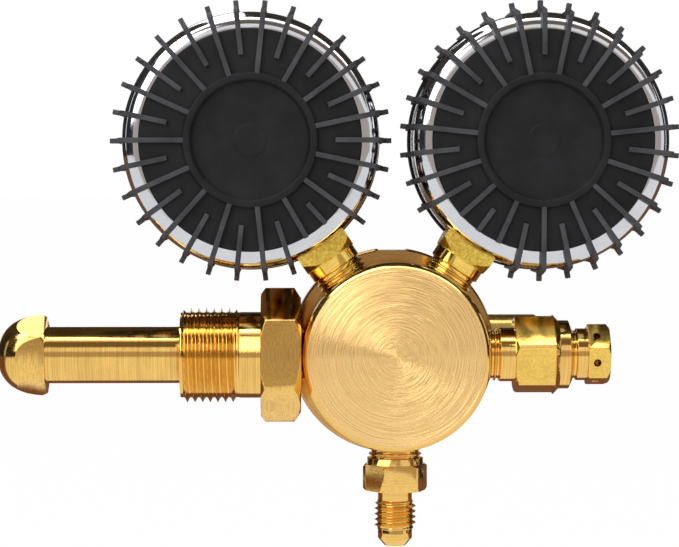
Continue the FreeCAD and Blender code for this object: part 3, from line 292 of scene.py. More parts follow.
@dataclass(frozen=True)
class Finish:
    """A material: subclasses say what their surface is."""

    name: str

    def surface(self, board: Board) -> dict:
        """The shader's socket values, by name."""
        raise NotImplementedError

    def material(self) -> bpy.types.Material:
        """The Blender material, made once."""
        found = bpy.data.materials.get(self.name)
        if found is not None:
            return found
        made = bpy.data.materials.new(self.name)
        made.use_nodes = True
        board = Board(made.node_tree)
        shader = board.node("ShaderNodeBsdfPrincipled", None, self.surface(board))
        board.node("ShaderNodeOutputMaterial", None, {"Surface": shader})
        return made


@dataclass(frozen=True)
class Metal(Finish):
    """A bare or plated metal with the marks of the tool that cut it."""

    axis: Axis = SCREW_AXIS
    tool: Tool = Tool.LATHE
    colour: Colour = (0.94, 0.60, 0.17)
    tarnish: Colour = (0.46, 0.24, 0.06)
    roughness: float = 0.17
    pitch: float = 0.3       # mm, between tool marks
    depth: float = 5.0       # micrometres, of the tool marks
    pits: float = 4.0        # micrometres, of the fine grain
    contrast: float = 0.3    # how strongly the marks darken

    def _marks(self, board: Board, along: Signal, radius: Signal, angle: Signal) -> Signal:
        """A height of tool marks that run as the tool did.

        Args:
            board: The tree to add to.
            along: Distance along the axis, in metres.
            radius: Distance from the axis, in metres.
            angle: Angle round the axis, in radians.

        Returns:
            The height, from 0 to 1.
        """
        fine = 1.0 / (self.pitch * MM)
        if self.tool is Tool.MILL:
            place = board.vector(along * (fine * 0.06), radius * board.maths("SINE", angle) * fine,
                                 radius * board.maths("COSINE", angle) * (fine * 0.3))
            return board.noise(place, 1.0, 3.0, 0.65)
        if self.tool is Tool.MOULD:
            place = board.vector(along * fine, radius * board.maths("SINE", angle) * fine,
                                 radius * board.maths("COSINE", angle) * fine)
            return board.noise(place, 1.0, 4.0, 0.7)
        place = board.vector(along * fine, radius * fine, board.maths("SINE", angle) * 0.5)
        return board.noise(place, 1.0, 2.0, 0.6)

    def surface(self, board: Board) -> dict:
        """Tool marks over fine grain, with a little tarnish in patches.

        Args:
            board: The tree to add to.

        Returns:
            The shader's socket values, by name.
        """
        along, radius, angle = self.axis.coordinates(board)
        place = board.node("ShaderNodeTexCoord", None, None, "Object")
        marks = self._marks(board, along, radius, angle)
        grain = board.noise(place, 4500.0, 3.0, 0.6)
        patches = board.noise(place, 160.0, 3.0, 0.6)
        stain = board.ramp(patches, (0.35, 0.0), (0.8, 0.6))
        lines = board.ramp(marks, (0.36, 0.0), (0.64, 1.0))
        specks = board.ramp(grain, (0.56, 0.0), (0.72, 1.0))
        wear = board.clamp(lines * self.contrast + specks * (self.contrast * 0.8) + stain * 0.35)
        colour = board.blend(wear, self.colour, self.tarnish)
        roughness = board.clamp(patches * 0.12 + wear * 0.12 + (self.roughness - 0.11))
        fine = board.bump(grain, self.pits * MM * MM)
        return {"Base Color": colour, "Metallic": 1.0, "Roughness": roughness,
                "Normal": board.bump(marks, self.depth * MM * MM, fine)}


@dataclass(frozen=True)
class FacedMetal(Metal):
    """The body's back face: turning marks in rings, close enough to spread light along the radius."""

    def surface(self, board: Board) -> dict:
        """Fine rings, a few deeper ones, and rings of slightly different tone.

        Args:
            board: The tree to add to.

        Returns:
            The shader's socket values, by name.
        """
        _, radius, angle = self.axis.coordinates(board)
        fine = 1.0 / (self.pitch * MM)
        turn = board.vector(board.maths("COSINE", angle) * 0.12, board.maths("SINE", angle) * 0.12,
                            radius * fine)
        rings = board.noise(turn, 1.0, 4.0, 0.75)
        broad = board.noise(board.vector(0.0, board.maths("SINE", angle) * 0.4, radius * (fine * 0.09)),
                            1.0, 3.0, 0.6)
        scratches = board.ramp(rings, (0.62, 0.0), (0.72, 1.0))
        height = rings + broad * 0.6
        colour = board.blend(broad * 0.3 + scratches * 0.2, self.colour, self.tarnish)
        roughness = board.clamp(broad * 0.12 + (self.roughness - 0.06))
        return {"Base Color": colour, "Metallic": 1.0, "Roughness": roughness,
                "Normal": board.bump(height, self.depth * MM * MM)}


@dataclass(frozen=True)
class Rubber(Finish):
    """Moulded black rubber with a dry, faintly dusty skin; where it is given a lighter grey, its patches
    are painted sheen.
    """

    colour: Colour = (0.004, 0.004, 0.005)
    dust_and_sheen: Colour = (0.022, 0.021, 0.024)
    roughness: float = 0.66
    dust_and_sheen_amount: float = 0.5

    def surface(self, board: Board) -> dict:
        """A fine leathery grain with lighter patches: dusty on the boot and seals, painted sheen on the
        fins.

        Args:
            board: The tree to add to.

        Returns:
            The shader's socket values, by name.
        """
        place = board.node("ShaderNodeTexCoord", None, None, "Object")
        grain = board.noise(place, 2600.0, 4.0, 0.65)
        patches = board.noise(place, 110.0, 4.0, 0.6)
        # lighter grey in patches: real dusting on the boot and seals, painted sheen on the fins
        dust_and_sheen_share = board.clamp(board.ramp(patches, (0.35, 0.0), (0.75, 1.0)) * self.dust_and_sheen_amount + grain * 0.15)
        return {"Base Color": board.blend(dust_and_sheen_share, self.colour, self.dust_and_sheen),
                "Roughness": board.clamp(patches * 0.2 + (self.roughness - 0.1)),
                "Specular IOR Level": 0.25, "Normal": board.bump(grain, 0.00001)}


@dataclass(frozen=True)
class Paint(Finish):
    """A painted, printed or moulded coat of one colour with a faint texture."""

    colour: Colour = (0.85, 0.85, 0.83)
    roughness: float = 0.45

    def surface(self, board: Board) -> dict:
        """An even coat with an orange-peel skin."""
        place = board.node("ShaderNodeTexCoord", None, None, "Object")
        skin = board.noise(place, 1800.0, 2.0, 0.5)
        patches = board.noise(place, 90.0, 3.0, 0.5)
        darker = tuple(part * 0.86 for part in self.colour)
        return {"Base Color": board.blend(patches * 0.6, self.colour, darker),
                "Roughness": board.clamp(patches * 0.12 + (self.roughness - 0.06)),
                "Normal": board.bump(skin, 0.000003)}


@dataclass(frozen=True)
class Sinter(Finish):
    """Porous bronze pressed from round grains."""

    def surface(self, board: Board) -> dict:
        """Packed grains with painted shade in the gaps between them."""
        place = board.node("ShaderNodeTexCoord", None, None, "Object")
        grains = board.node("ShaderNodeTexVoronoi", None, {"Vector": place, "Scale": 2600.0})
        # near-black brown in the gaps between grains: painted shade
        painted_pore_shade = board.ramp(grains, (0.3, 0.0), (0.7, 1.0))
        return {"Base Color": board.blend(painted_pore_shade, (0.50, 0.31, 0.15), (0.10, 0.055, 0.03)),
                "Metallic": 1.0, "Roughness": 0.5, "Normal": board.bump(1.0 - grains, 0.00008)}


@dataclass(frozen=True)
class Lens(Finish):
    """The gauges' clear lens."""

    def surface(self, board: Board) -> dict:
        """Clear, with the faintest haze."""
        place = board.node("ShaderNodeTexCoord", None, None, "Object")
        haze = board.noise(place, 120.0, 3.0, 0.5)
        return {"Base Color": (0.97, 0.98, 0.98, 1.0), "Roughness": board.clamp(haze * 0.03),
                "IOR": 1.49, "Transmission Weight": 1.0}


CHROME = (0.66, 0.67, 0.70)
STEEL = (0.52, 0.52, 0.53)
BACK_FACE = FacedMetal("brass_back_face", colour=(0.99, 0.66, 0.27), tarnish=(0.84, 0.52, 0.19),
                       roughness=0.16, pitch=0.6, depth=260.0)
BODY_WALL = Metal("brass_body_wall", roughness=0.12)
# The bonnet's brass is painted darker and browner than the other brass: painted shade and dark reflection
# on the bonnet ring.
BONNET_BRASS_PAINTED_SHADE = Metal("brass_bonnet_painted_shade", roughness=0.2, colour=(0.62, 0.36, 0.12), tarnish=(0.26, 0.13, 0.04))
INLET_BRASS = Metal("brass_inlet", axis=INLET_AXIS, roughness=0.13, pits=9.0, contrast=0.4)
INLET_FLAT = Metal("brass_inlet_flats", axis=INLET_AXIS, tool=Tool.MILL, roughness=0.26,
                   pitch=0.9, depth=60.0, pits=14.0, contrast=0.7)
RELIEF_BRASS = Metal("brass_relief", axis=RELIEF_AXIS, roughness=0.14)
RELIEF_FLAT = Metal("brass_relief_flats", axis=RELIEF_AXIS, tool=Tool.MOULD, roughness=0.2, pitch=0.6,
                    depth=22.0, pits=8.0, contrast=0.35, colour=(0.99, 0.67, 0.14))
OUTLET_BRASS = Metal("brass_outlet", axis=OUTLET_AXIS, roughness=0.15)
OUTLET_FLAT = Metal("brass_outlet_flats", axis=OUTLET_AXIS, tool=Tool.MILL, roughness=0.26,
                    pitch=0.7, depth=25.0, pits=8.0, contrast=0.55)
HANDLE_BRASS = Metal("brass_handle", tool=Tool.MOULD, roughness=0.3, pitch=0.5, depth=20.0)
CAST_BRASS = Metal("brass_cast_block", tool=Tool.MOULD, roughness=0.32, pitch=0.8, depth=120.0, pits=14.0,
                   colour=(0.98, 0.69, 0.13), tarnish=(0.42, 0.25, 0.02), contrast=0.6)
NECK_BRASS = Metal("brass_neck", roughness=0.12, colour=(0.95, 0.66, 0.14))
MOVEMENT_BRASS = Metal("brass_movement", tool=Tool.MILL, roughness=0.3, colour=(0.78, 0.58, 0.27))
CHROME_PLATE = Metal("chrome_plate", colour=CHROME, tarnish=(0.40, 0.41, 0.44), roughness=0.12, depth=0.5,
                     pits=0.4, contrast=0.15)
SPRING_STEEL = Metal("spring_steel", colour=STEEL, tarnish=(0.33, 0.31, 0.29), roughness=0.28)
ZINC_STEEL = Metal("zinc_steel", colour=(0.60, 0.61, 0.62), tarnish=(0.42, 0.41, 0.38), roughness=0.3)
BOOT_RUBBER = Rubber("boot_rubber")
# The fins' rubber is the boot's black rubber painted a lighter grey, and lighter still in patches: painted
# sheen for the light that the fins catch.
FIN_RUBBER_PAINTED_SHEEN = Rubber("boot_fin_rubber_painted_sheen", colour=(0.026, 0.025, 0.029), dust_and_sheen=(0.10, 0.097, 0.104),
                    roughness=0.5)
SEAL_RUBBER = Rubber("seal_rubber", dust_and_sheen_amount=0.2)
DIAL_WHITE = Paint("dial_white")
INK_BLACK = Paint("ink_black", colour=(0.015, 0.015, 0.016), roughness=0.5)
SEAT_PLASTIC = Paint("seat_plastic", colour=(0.80, 0.78, 0.70), roughness=0.4)
FILTER_BRONZE = Sinter("filter_bronze")
CLEAR_LENS = Lens("clear_lens")


# ---------------------------------------------------------------- meshes

def new_object(name: str, mesh: bpy.types.Mesh) -> bpy.types.Object:
    """Put a mesh in the scene as an object at the origin.

    Args:
        name: The object's name.
        mesh: Its data.

    Returns:
        The new object.
    """
    made = bpy.data.objects.new(name, mesh)
    bpy.context.scene.collection.objects.link(made)
    return made


def from_bmesh(name: str, work: bmesh.types.BMesh, place: Matrix = Matrix.Identity(4)) -> bpy.types.Object:
    """Turn working geometry into an object whose place is in its mesh.

    Args:
        name: The object's name.
        work: The geometry, which is freed.
        place: Where it goes.

    Returns:
        The new object, at the origin.
    """
    work.transform(place)
    mesh = bpy.data.meshes.new(name)
    work.to_mesh(mesh)
    work.free()
    return new_object(name, mesh)


def plain(name: str, source: bpy.types.Object) -> bpy.types.Object:
    """Bake an object's modifiers into a new object and remove the old one.

    Args:
        name: The new object's name.
        source: The object to bake.

    Returns:
        The new object, with no modifiers.
    """
    graph = bpy.context.evaluated_depsgraph_get()
    mesh = bpy.data.meshes.new_from_object(source.evaluated_get(graph))
    bpy.data.objects.remove(source)
    mesh.name = name
    return new_object(name, mesh)


def smooth(piece: bpy.types.Object, angle: float = 32.0) -> bpy.types.Object:
    """Shade a piece smooth up to an angle between faces, in degrees.

    Args:
        piece: The piece to shade.
        angle: The largest angle that stays smooth, in degrees.

    Returns:
        The same piece.
    """
    piece.data.shade_smooth()
    piece.data.set_sharp_from_angle(angle=math.radians(angle))
    return piece


def paint(piece: bpy.types.Object, *finishes: Finish) -> bpy.types.Object:
    """Give a piece its material slots.

    Args:
        piece: The piece to dress.
        finishes: Its finishes, slot by slot.

    Returns:
        The same piece.
    """
    piece.data.materials.clear()
    for finish in finishes:
        piece.data.materials.append(finish.material())
    return piece


def paint_where(piece: bpy.types.Object, slot: int, test: Callable[[bpy.types.MeshPolygon], bool]) -> None:
    """Give the faces that pass a test a material slot.

    Args:
        piece: The piece to dress.
        slot: The number of the slot.
        test: Says whether a face is meant.
    """
    for face in piece.data.polygons:
        if test(face):
            face.material_index = slot


def joined(name: str, parts: Sequence[bpy.types.Object]) -> bpy.types.Object:
    """Join several objects into one.

    Args:
        name: The new object's name.
        parts: The objects to join.

    Returns:
        The one object.
    """
    with bpy.context.temp_override(active_object=parts[0], selected_editable_objects=list(parts)):
        bpy.ops.object.join()
    parts[0].name = name
    parts[0].data.name = name
    return parts[0]


def merged_copy(node: str) -> bmesh.types.BMesh:
    """A CAD node's geometry with its loose triangles merged into whole flat faces.

    Args:
        node: The CAD node.

    Returns:
        The geometry, which its taker frees.
    """
    work = bmesh.new()
    work.from_mesh(FRAME["nodes"][node].data)
    bmesh.ops.remove_doubles(work, verts=work.verts, dist=2e-6)
    bmesh.ops.dissolve_limit(work, angle_limit=math.radians(0.6), verts=work.verts, edges=work.edges)
    return work


def keep_between(work: bmesh.types.BMesh, axis: Axis, low: float | None, high: float | None) -> None:
    """Cut away a merged copy outside two heights on an axis, in mm, and close its ends.

    Args:
        work: The merged copy.
        axis: The axis that the heights are on.
        low: The lower height, or None for no cut.
        high: The upper height, or None for no cut.
    """
    for height, sign in ((low, -1.0), (high, 1.0)):
        if height is None:
            continue
        way = Vector(axis.way)
        spot = Vector(axis.centre) + way * height * MM
        geometry = [*work.verts, *work.edges, *work.faces]
        bmesh.ops.bisect_plane(work, geom=geometry, plane_co=spot, plane_no=way * sign, clear_outer=True)
        rim = [edge for edge in work.edges if edge.is_boundary]
        bmesh.ops.bridge_loops(work, edges=rim)


def bevelled(name: str, work: bmesh.types.BMesh, width: float = 0.15, segments: int = 2,
             angle: float = 32.0) -> bpy.types.Object:
    """Turn a merged copy into a piece whose sharp edges are rounded by a width in mm.

    Args:
        name: The piece's name.
        work: The merged copy, which is freed.
        width: The rounding's width, in mm.
        segments: The rounding's number of steps.
        angle: The sharpest edge that stays unrounded, in degrees.

    Returns:
        The finished piece.
    """
    piece = from_bmesh(name, work)
    rounding = piece.modifiers.new("edge", "BEVEL")
    rounding.width = width * MM
    rounding.segments = segments
    rounding.limit_method = "ANGLE"
    rounding.angle_limit = math.radians(angle)
    rounding.use_clamp_overlap = True
    return smooth(plain(name, piece), angle + 6.0)


def ring_corners(profile: Profile, rounding: float = 0.12) -> list[tuple[float, float]]:
    """Round the corners of a (radius, height) profile by a length in mm.

    Args:
        profile: The closed profile, in mm.
        rounding: How far each corner is cut back, in mm.

    Returns:
        The profile with three points at each corner.
    """
    corners = []
    count = len(profile)
    for index, corner in enumerate(profile):
        here = Vector(corner)
        before, after = (Vector(profile[(index + step) % count]) - here for step in (-1, 1))
        cut = min(rounding, before.length * 0.4, after.length * 0.4)
        turn = before.angle(after, 0.0)
        if corner[0] < 1e-6 or turn > math.radians(160.0):
            corners.append(tuple(here))
            continue
        start, end = here + before.normalized() * cut, here + after.normalized() * cut
        middle = (start + end) * 0.25 + here * 0.5
        corners.extend((tuple(start), tuple(middle), tuple(end)))
    return corners


def lathe(name: str, profile: Profile, place: Matrix, steps: int = 128, rounding: float = 0.12
          ) -> bpy.types.Object:
    """Turn a closed (radius, height) profile in mm about the +Z of a place.

    Args:
        name: The object's name.
        profile: The closed profile, in mm.
        place: The frame that it is turned in.
        steps: The number of steps round.
        rounding: The rounding of its corners, in mm.

    Returns:
        The turned object.
    """
    work = bmesh.new()
    corners = [work.verts.new((radius * MM, 0.0, height * MM)) for radius, height
               in ring_corners(profile, rounding)]
    edges = [work.edges.new((corners[index - 1], corners[index])) for index in range(len(corners))]
    bmesh.ops.spin(work, geom=[*corners, *edges], cent=(0, 0, 0), axis=(0, 0, 1), angle=2 * math.pi,
                   steps=steps, use_merge=True)
    bmesh.ops.remove_doubles(work, verts=work.verts, dist=1e-7)
    bmesh.ops.dissolve_degenerate(work, edges=work.edges, dist=1e-8)
    bmesh.ops.recalc_face_normals(work, faces=work.faces)
    return smooth(from_bmesh(name, work, place))


# ---------------------------------------------------------------- geometry node trees

class Growth:
    """A geometry node tree with named inputs, run on a host object and turned into a plain mesh."""

    def __init__(self, name: str) -> None:
        """Start a tree with its one geometry output."""
        self.tree = bpy.data.node_groups.new(name, "GeometryNodeTree")
        self.tree.interface.new_socket("Geometry", in_out="OUTPUT", socket_type="NodeSocketGeometry")
        self.board = Board(self.tree)
        self.entry = None
        self.identifiers = {}

    def inputs(self, **kinds: str) -> dict[str, Signal]:
        """Args:
            kinds: Each input's name with its socket type.

        Returns:
            Each input's name with its signal.
        """
        for name, kind in kinds.items():
            made = self.tree.interface.new_socket(name, in_out="INPUT", socket_type="NodeSocket" + kind)
            self.identifiers[name] = made.identifier
        self.entry = self.tree.nodes.new("NodeGroupInput")
        return {name: Signal(self.board, self.entry.outputs[name]) for name in kinds}

    def finish(self, geometry: Signal, material: Signal) -> None:
        """End the tree: real geometry with its material.

        Args:
            geometry: What the tree has grown.
            material: The material to put on it.
        """
        real = self.board.node("GeometryNodeRealizeInstances", None, {0: geometry})
        dressed = self.board.node("GeometryNodeSetMaterial", None, {"Geometry": real, "Material": material})
        self.board.node("NodeGroupOutput", None, {0: dressed})

    def grow(self, name: str, place: Matrix, **values: object) -> bpy.types.Object:
        """Run the tree with these inputs and hand back a plain, closed mesh in its place.

        Args:
            name: The new object's name.
            place: The frame that the tree's geometry goes into.
            values: Each input's name with its value.

        Returns:
            The grown object, with no modifiers.
        """
        host = new_object(name + "_host", bpy.data.meshes.new(name + "_host"))
        modifier = host.modifiers.new("growth", "NODES")
        modifier.node_group = self.tree
        for key, value in values.items():
            modifier[self.identifiers[key]] = value
        grown = plain(name, host)
        work = bmesh.new()
        work.from_mesh(grown.data)
        bmesh.ops.remove_doubles(work, verts=work.verts, dist=1e-7)
        bmesh.ops.recalc_face_normals(work, faces=work.faces)
        work.transform(place)
        work.to_mesh(grown.data)
        work.free()
        return grown


def thread_tree() -> Growth:
    """A hollow length of right-hand screw thread about +Z, with sharp crests and wide round roots.

    Returns:
        The tree, with the thread's sizes in metres as its inputs.
    """
    growth = Growth("screw_thread")
    board = growth.board
    given = growth.inputs(Start="Float", Length="Float", Pitch="Float", Crest="Float", Root="Float",
                          Bore="Float", Phase="Float", Rows="Int", Around="Int", Material="Material")
    grid = board.node("GeometryNodeMeshGrid", None, {
        "Size X": 1.0, "Size Y": 1.0, "Vertices X": given["Around"], "Vertices Y": given["Rows"]})
    place = board.node("GeometryNodeInputPosition")
    split = board.node("ShaderNodeSeparateXYZ", None, {0: place})
    around = split + 0.5
    share = Signal(board, split.socket.node.outputs[1]) + 0.5
    row = board.maths("ROUND", share * (given["Rows"] - 1.0))
    wall = (row > 0.5) * (row < given["Rows"] - 2.5)
    height = board.clamp((row - 1.0) / (given["Rows"] - 4.0)) * (row < given["Rows"] - 1.5)
    depth = height * given["Length"]
    turns = depth / given["Pitch"] - around - given["Phase"]
    ridge = 1.0 - board.maths("ABSOLUTE", board.maths("SINE", turns * math.pi)) ** 0.85
    ridge = board.maths("MINIMUM", ridge, 0.9) / 0.9
    lead = board.clamp(board.maths("MINIMUM", depth, given["Length"] - depth) / (given["Pitch"] * 0.7))
    outer = given["Root"] + (given["Crest"] - given["Root"]) * ridge * lead
    radius = outer * wall + given["Bore"] * (1.0 - wall)
    angle = around * (2 * math.pi)
    spot = board.vector(radius * board.maths("COSINE", angle), radius * board.maths("SINE", angle),
                        given["Start"] + depth)
    moved = board.node("GeometryNodeSetPosition", None, {"Geometry": grid, "Position": spot})
    growth.finish(moved, given["Material"])
    return growth


def radial_tree() -> Growth:
    """Copies of a part round +Z, with another part where they cross a gap below the axis.

    Returns:
        The tree, with the number of copies and the angle between them in radians among its inputs.
    """
    growth = Growth("radial_ribs")
    board = growth.board
    given = growth.inputs(Count="Int", Phase="Float", Step="Float", Gap="Float", Part="Object",
                          Gap_Part="Object", Material="Material")
    points = board.node("GeometryNodeMeshLine", None, {"Count": given["Count"], "Offset": (0.0, 0.0, 0.0)})
    index = board.node("GeometryNodeInputIndex")
    angle = given["Phase"] + index * given["Step"]
    below = board.maths("SINE", angle) * -1.0 > board.maths("COSINE", given["Gap"])
    turn = board.node("FunctionNodeEulerToRotation", None, {0: board.vector(0.0, 0.0, angle)})
    halves = []
    for part, chosen in ((given["Part"], 1.0 - below), (given["Gap_Part"], below)):
        shape = board.node("GeometryNodeObjectInfo", {"transform_space": "ORIGINAL"}, {"Object": part},
                           "Geometry")
        halves.append(board.node("GeometryNodeInstanceOnPoints", None, {
            "Points": points, "Selection": chosen, "Instance": shape, "Rotation": turn}))
    both = board.node("GeometryNodeJoinGeometry")
    for half in halves:
        board.tree.links.new(half.socket, both.socket.node.inputs[0])
    growth.finish(both, given["Material"])
    return growth


# ---------------------------------------------------------------- sub-assemblies

@dataclass
class Assembly:
    """A group of pieces that are built together."""

    def done(self, piece: bpy.types.Object, body: str, slot: str, *nodes: str) -> bpy.types.Object:
        """Hang a finished piece on its body and hide the CAD nodes that it stands for.

        Args:
            piece: The finished piece.
            body: The body that it rides on.
            slot: The record's material slot; not used.
            nodes: The CAD nodes that it stands for.

        Returns:
            The same piece.
        """
        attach(piece, body)
        if nodes:
            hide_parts(*nodes)
        LOG.info("%s: %d faces", piece.name, len(piece.data.polygons))
        return piece

    def machined(self, node: str, body: str, slot: str, *finishes: Finish, width: float = 0.15,
                 angle: float = 20.0) -> bpy.types.Object:
        """A CAD node's shape with rounded edges and smooth shading.

        Args:
            node: The CAD node.
            body: The body that it rides on.
            slot: The record's material slot.
            finishes: Its finishes, slot by slot.
            width: The rounding of its edges, in mm.
            angle: The sharpest edge that stays unrounded, in degrees.

        Returns:
            The piece that stands for the node.
        """
        piece = bevelled(node + "_finished", merged_copy(node), width, angle=angle)
        paint(piece, *finishes)
        return self.done(piece, body, slot, node)


@dataclass
class Body(Assembly):
    """The turned body with its bonnet."""

    def build(self) -> None:
        """Make the body and the bonnet."""
        piece = bevelled("body_finished", merged_copy("regulator_body"), 0.12)
        paint(piece, BODY_WALL, BACK_FACE)
        paint_where(piece, 1, lambda face: face.normal.y < -0.98 and face.center.y < 0.0005)
        self.done(piece, "regulator", "turned_brass", "regulator_body")
        # the bonnet gets the brass with painted shade
        self.machined("bonnet", "regulator", "polished_brass", BONNET_BRASS_PAINTED_SHADE, width=0.2)


def on_flat(axis: Axis, across: float, turn: float = 0.0) -> Callable[[bpy.types.MeshPolygon], bool]:
    """A test for the faces of a hexagon's flats.

    Args:
        axis: The hexagon's axis.
        across: Its size across flats, in mm.
        turn: The angle of its first flat from the axis frame's +X, in degrees.

    Returns:
        A function that says whether a mesh face lies on one of the six flats.
    """
    frame = axis.frame().inverted()

    def test(face: bpy.types.MeshPolygon) -> bool:
        """Whether a face lies on one of the flats."""
        normal = frame.to_3x3() @ face.normal
        centre = frame @ face.center
        step = (math.degrees(math.atan2(normal.y, normal.x)) - turn) / 60.0
        near = abs(step - round(step)) * 60.0 < 1.0 and abs(normal.z) < 0.02
        return near and abs(centre.x * normal.x + centre.y * normal.y - across / 2 * MM) < 0.05 * MM

    return test


@dataclass
class Inlet(Assembly):
    """The nipple and the nut that slides on it."""

    thread: Growth
    nut_across: float = 30.4
    nose_across: float = 18.2
    nut_turn: float = -3.9
    nose_turn: float = 0.6
    thread_start: float = 40.3
    thread_length: float = 15.4
    thread_pitch: float = 1.98
    thread_crest: float = 12.25
    thread_root: float = 11.0
    bore: float = 7.4
    thread_phase: float = 0.15

    def build(self) -> None:
        """Make the nipple and the nut."""
        nipple = self.machined("inlet_nipple", "regulator", "polished_brass", INLET_BRASS, INLET_FLAT)
        paint_where(nipple, 1, on_flat(INLET_AXIS, self.nose_across, self.nose_turn))
        work = merged_copy("inlet_nut")
        keep_between(work, INLET_AXIS, None, self.thread_start + SEAM)
        hexagon = paint(bevelled("nut_hexagon", work, 0.22, angle=20.0), INLET_BRASS, INLET_FLAT)
        paint_where(hexagon, 1, on_flat(INLET_AXIS, self.nut_across, self.nut_turn))
        screw = self.thread.grow(
            "nut_thread", INLET_AXIS.frame(), Start=self.thread_start * MM, Length=self.thread_length * MM,
            Pitch=self.thread_pitch * MM, Crest=self.thread_crest * MM, Root=self.thread_root * MM,
            Bore=self.bore * MM, Phase=self.thread_phase, Rows=220, Around=145,
            Material=INLET_BRASS.material())
        smooth(screw, 60.0)
        self.done(joined("nut_finished", [hexagon, screw]), "inlet_nut", "polished_brass", "inlet_nut")


@dataclass
class Outlet(Assembly):
    """The male flare fitting."""

    thread: Growth
    across: float = 15.0
    turn: float = 10.3
    thread_start: float = 37.9
    thread_length: float = 7.6
    thread_pitch: float = 1.44
    thread_crest: float = 5.4
    thread_root: float = 4.55
    bore: float = 2.3
    nose_start: float = 45.4

    def build(self) -> None:
        """Make the fitting from its hexagon, its thread and its cone."""
        parts = []
        for low, high in ((None, self.thread_start + SEAM), (self.nose_start, None)):
            work = merged_copy("outlet_fitting")
            keep_between(work, OUTLET_AXIS, low, high)
            parts.append(paint(bevelled("outlet_part", work, 0.12, angle=20.0), OUTLET_BRASS, OUTLET_FLAT))
        paint_where(parts[0], 1, on_flat(OUTLET_AXIS, self.across, self.turn))
        screw = self.thread.grow(
            "outlet_thread", OUTLET_AXIS.frame(), Start=self.thread_start * MM,
            Length=self.thread_length * MM, Pitch=self.thread_pitch * MM, Crest=self.thread_crest * MM,
            Root=self.thread_root * MM, Bore=self.bore * MM, Phase=0.3, Rows=150, Around=97,
            Material=OUTLET_BRASS.material())
        parts.append(smooth(screw, 60.0))
        self.done(joined("outlet_finished", parts), "regulator", "polished_brass", "outlet_fitting")


@dataclass
class ReliefValve(Assembly):
    """The relief valve's body and vented cap."""

    across: float = 18.3
    cap_across: float = 14.3
    turn: float = 14.3

    def build(self) -> None:
        """Make the body and the cap."""
        for node, across in (("relief_body", self.across), ("relief_cap", self.cap_across)):
            piece = self.machined(node, "regulator", "polished_brass", RELIEF_BRASS, RELIEF_FLAT,
                                  width=0.14)
            paint_where(piece, 1, on_flat(RELIEF_AXIS, across, self.turn))


@dataclass
class Handle(Assembly):
    """The T-handle and the adjusting screw."""

    def build(self) -> None:
        """Make the handle and the screw."""
        self.machined("t_handle", "handle", "cast_brass", HANDLE_BRASS, width=0.4)
        self.machined("adjusting_screw", "handle", "steel", ZINC_STEEL, width=0.08)


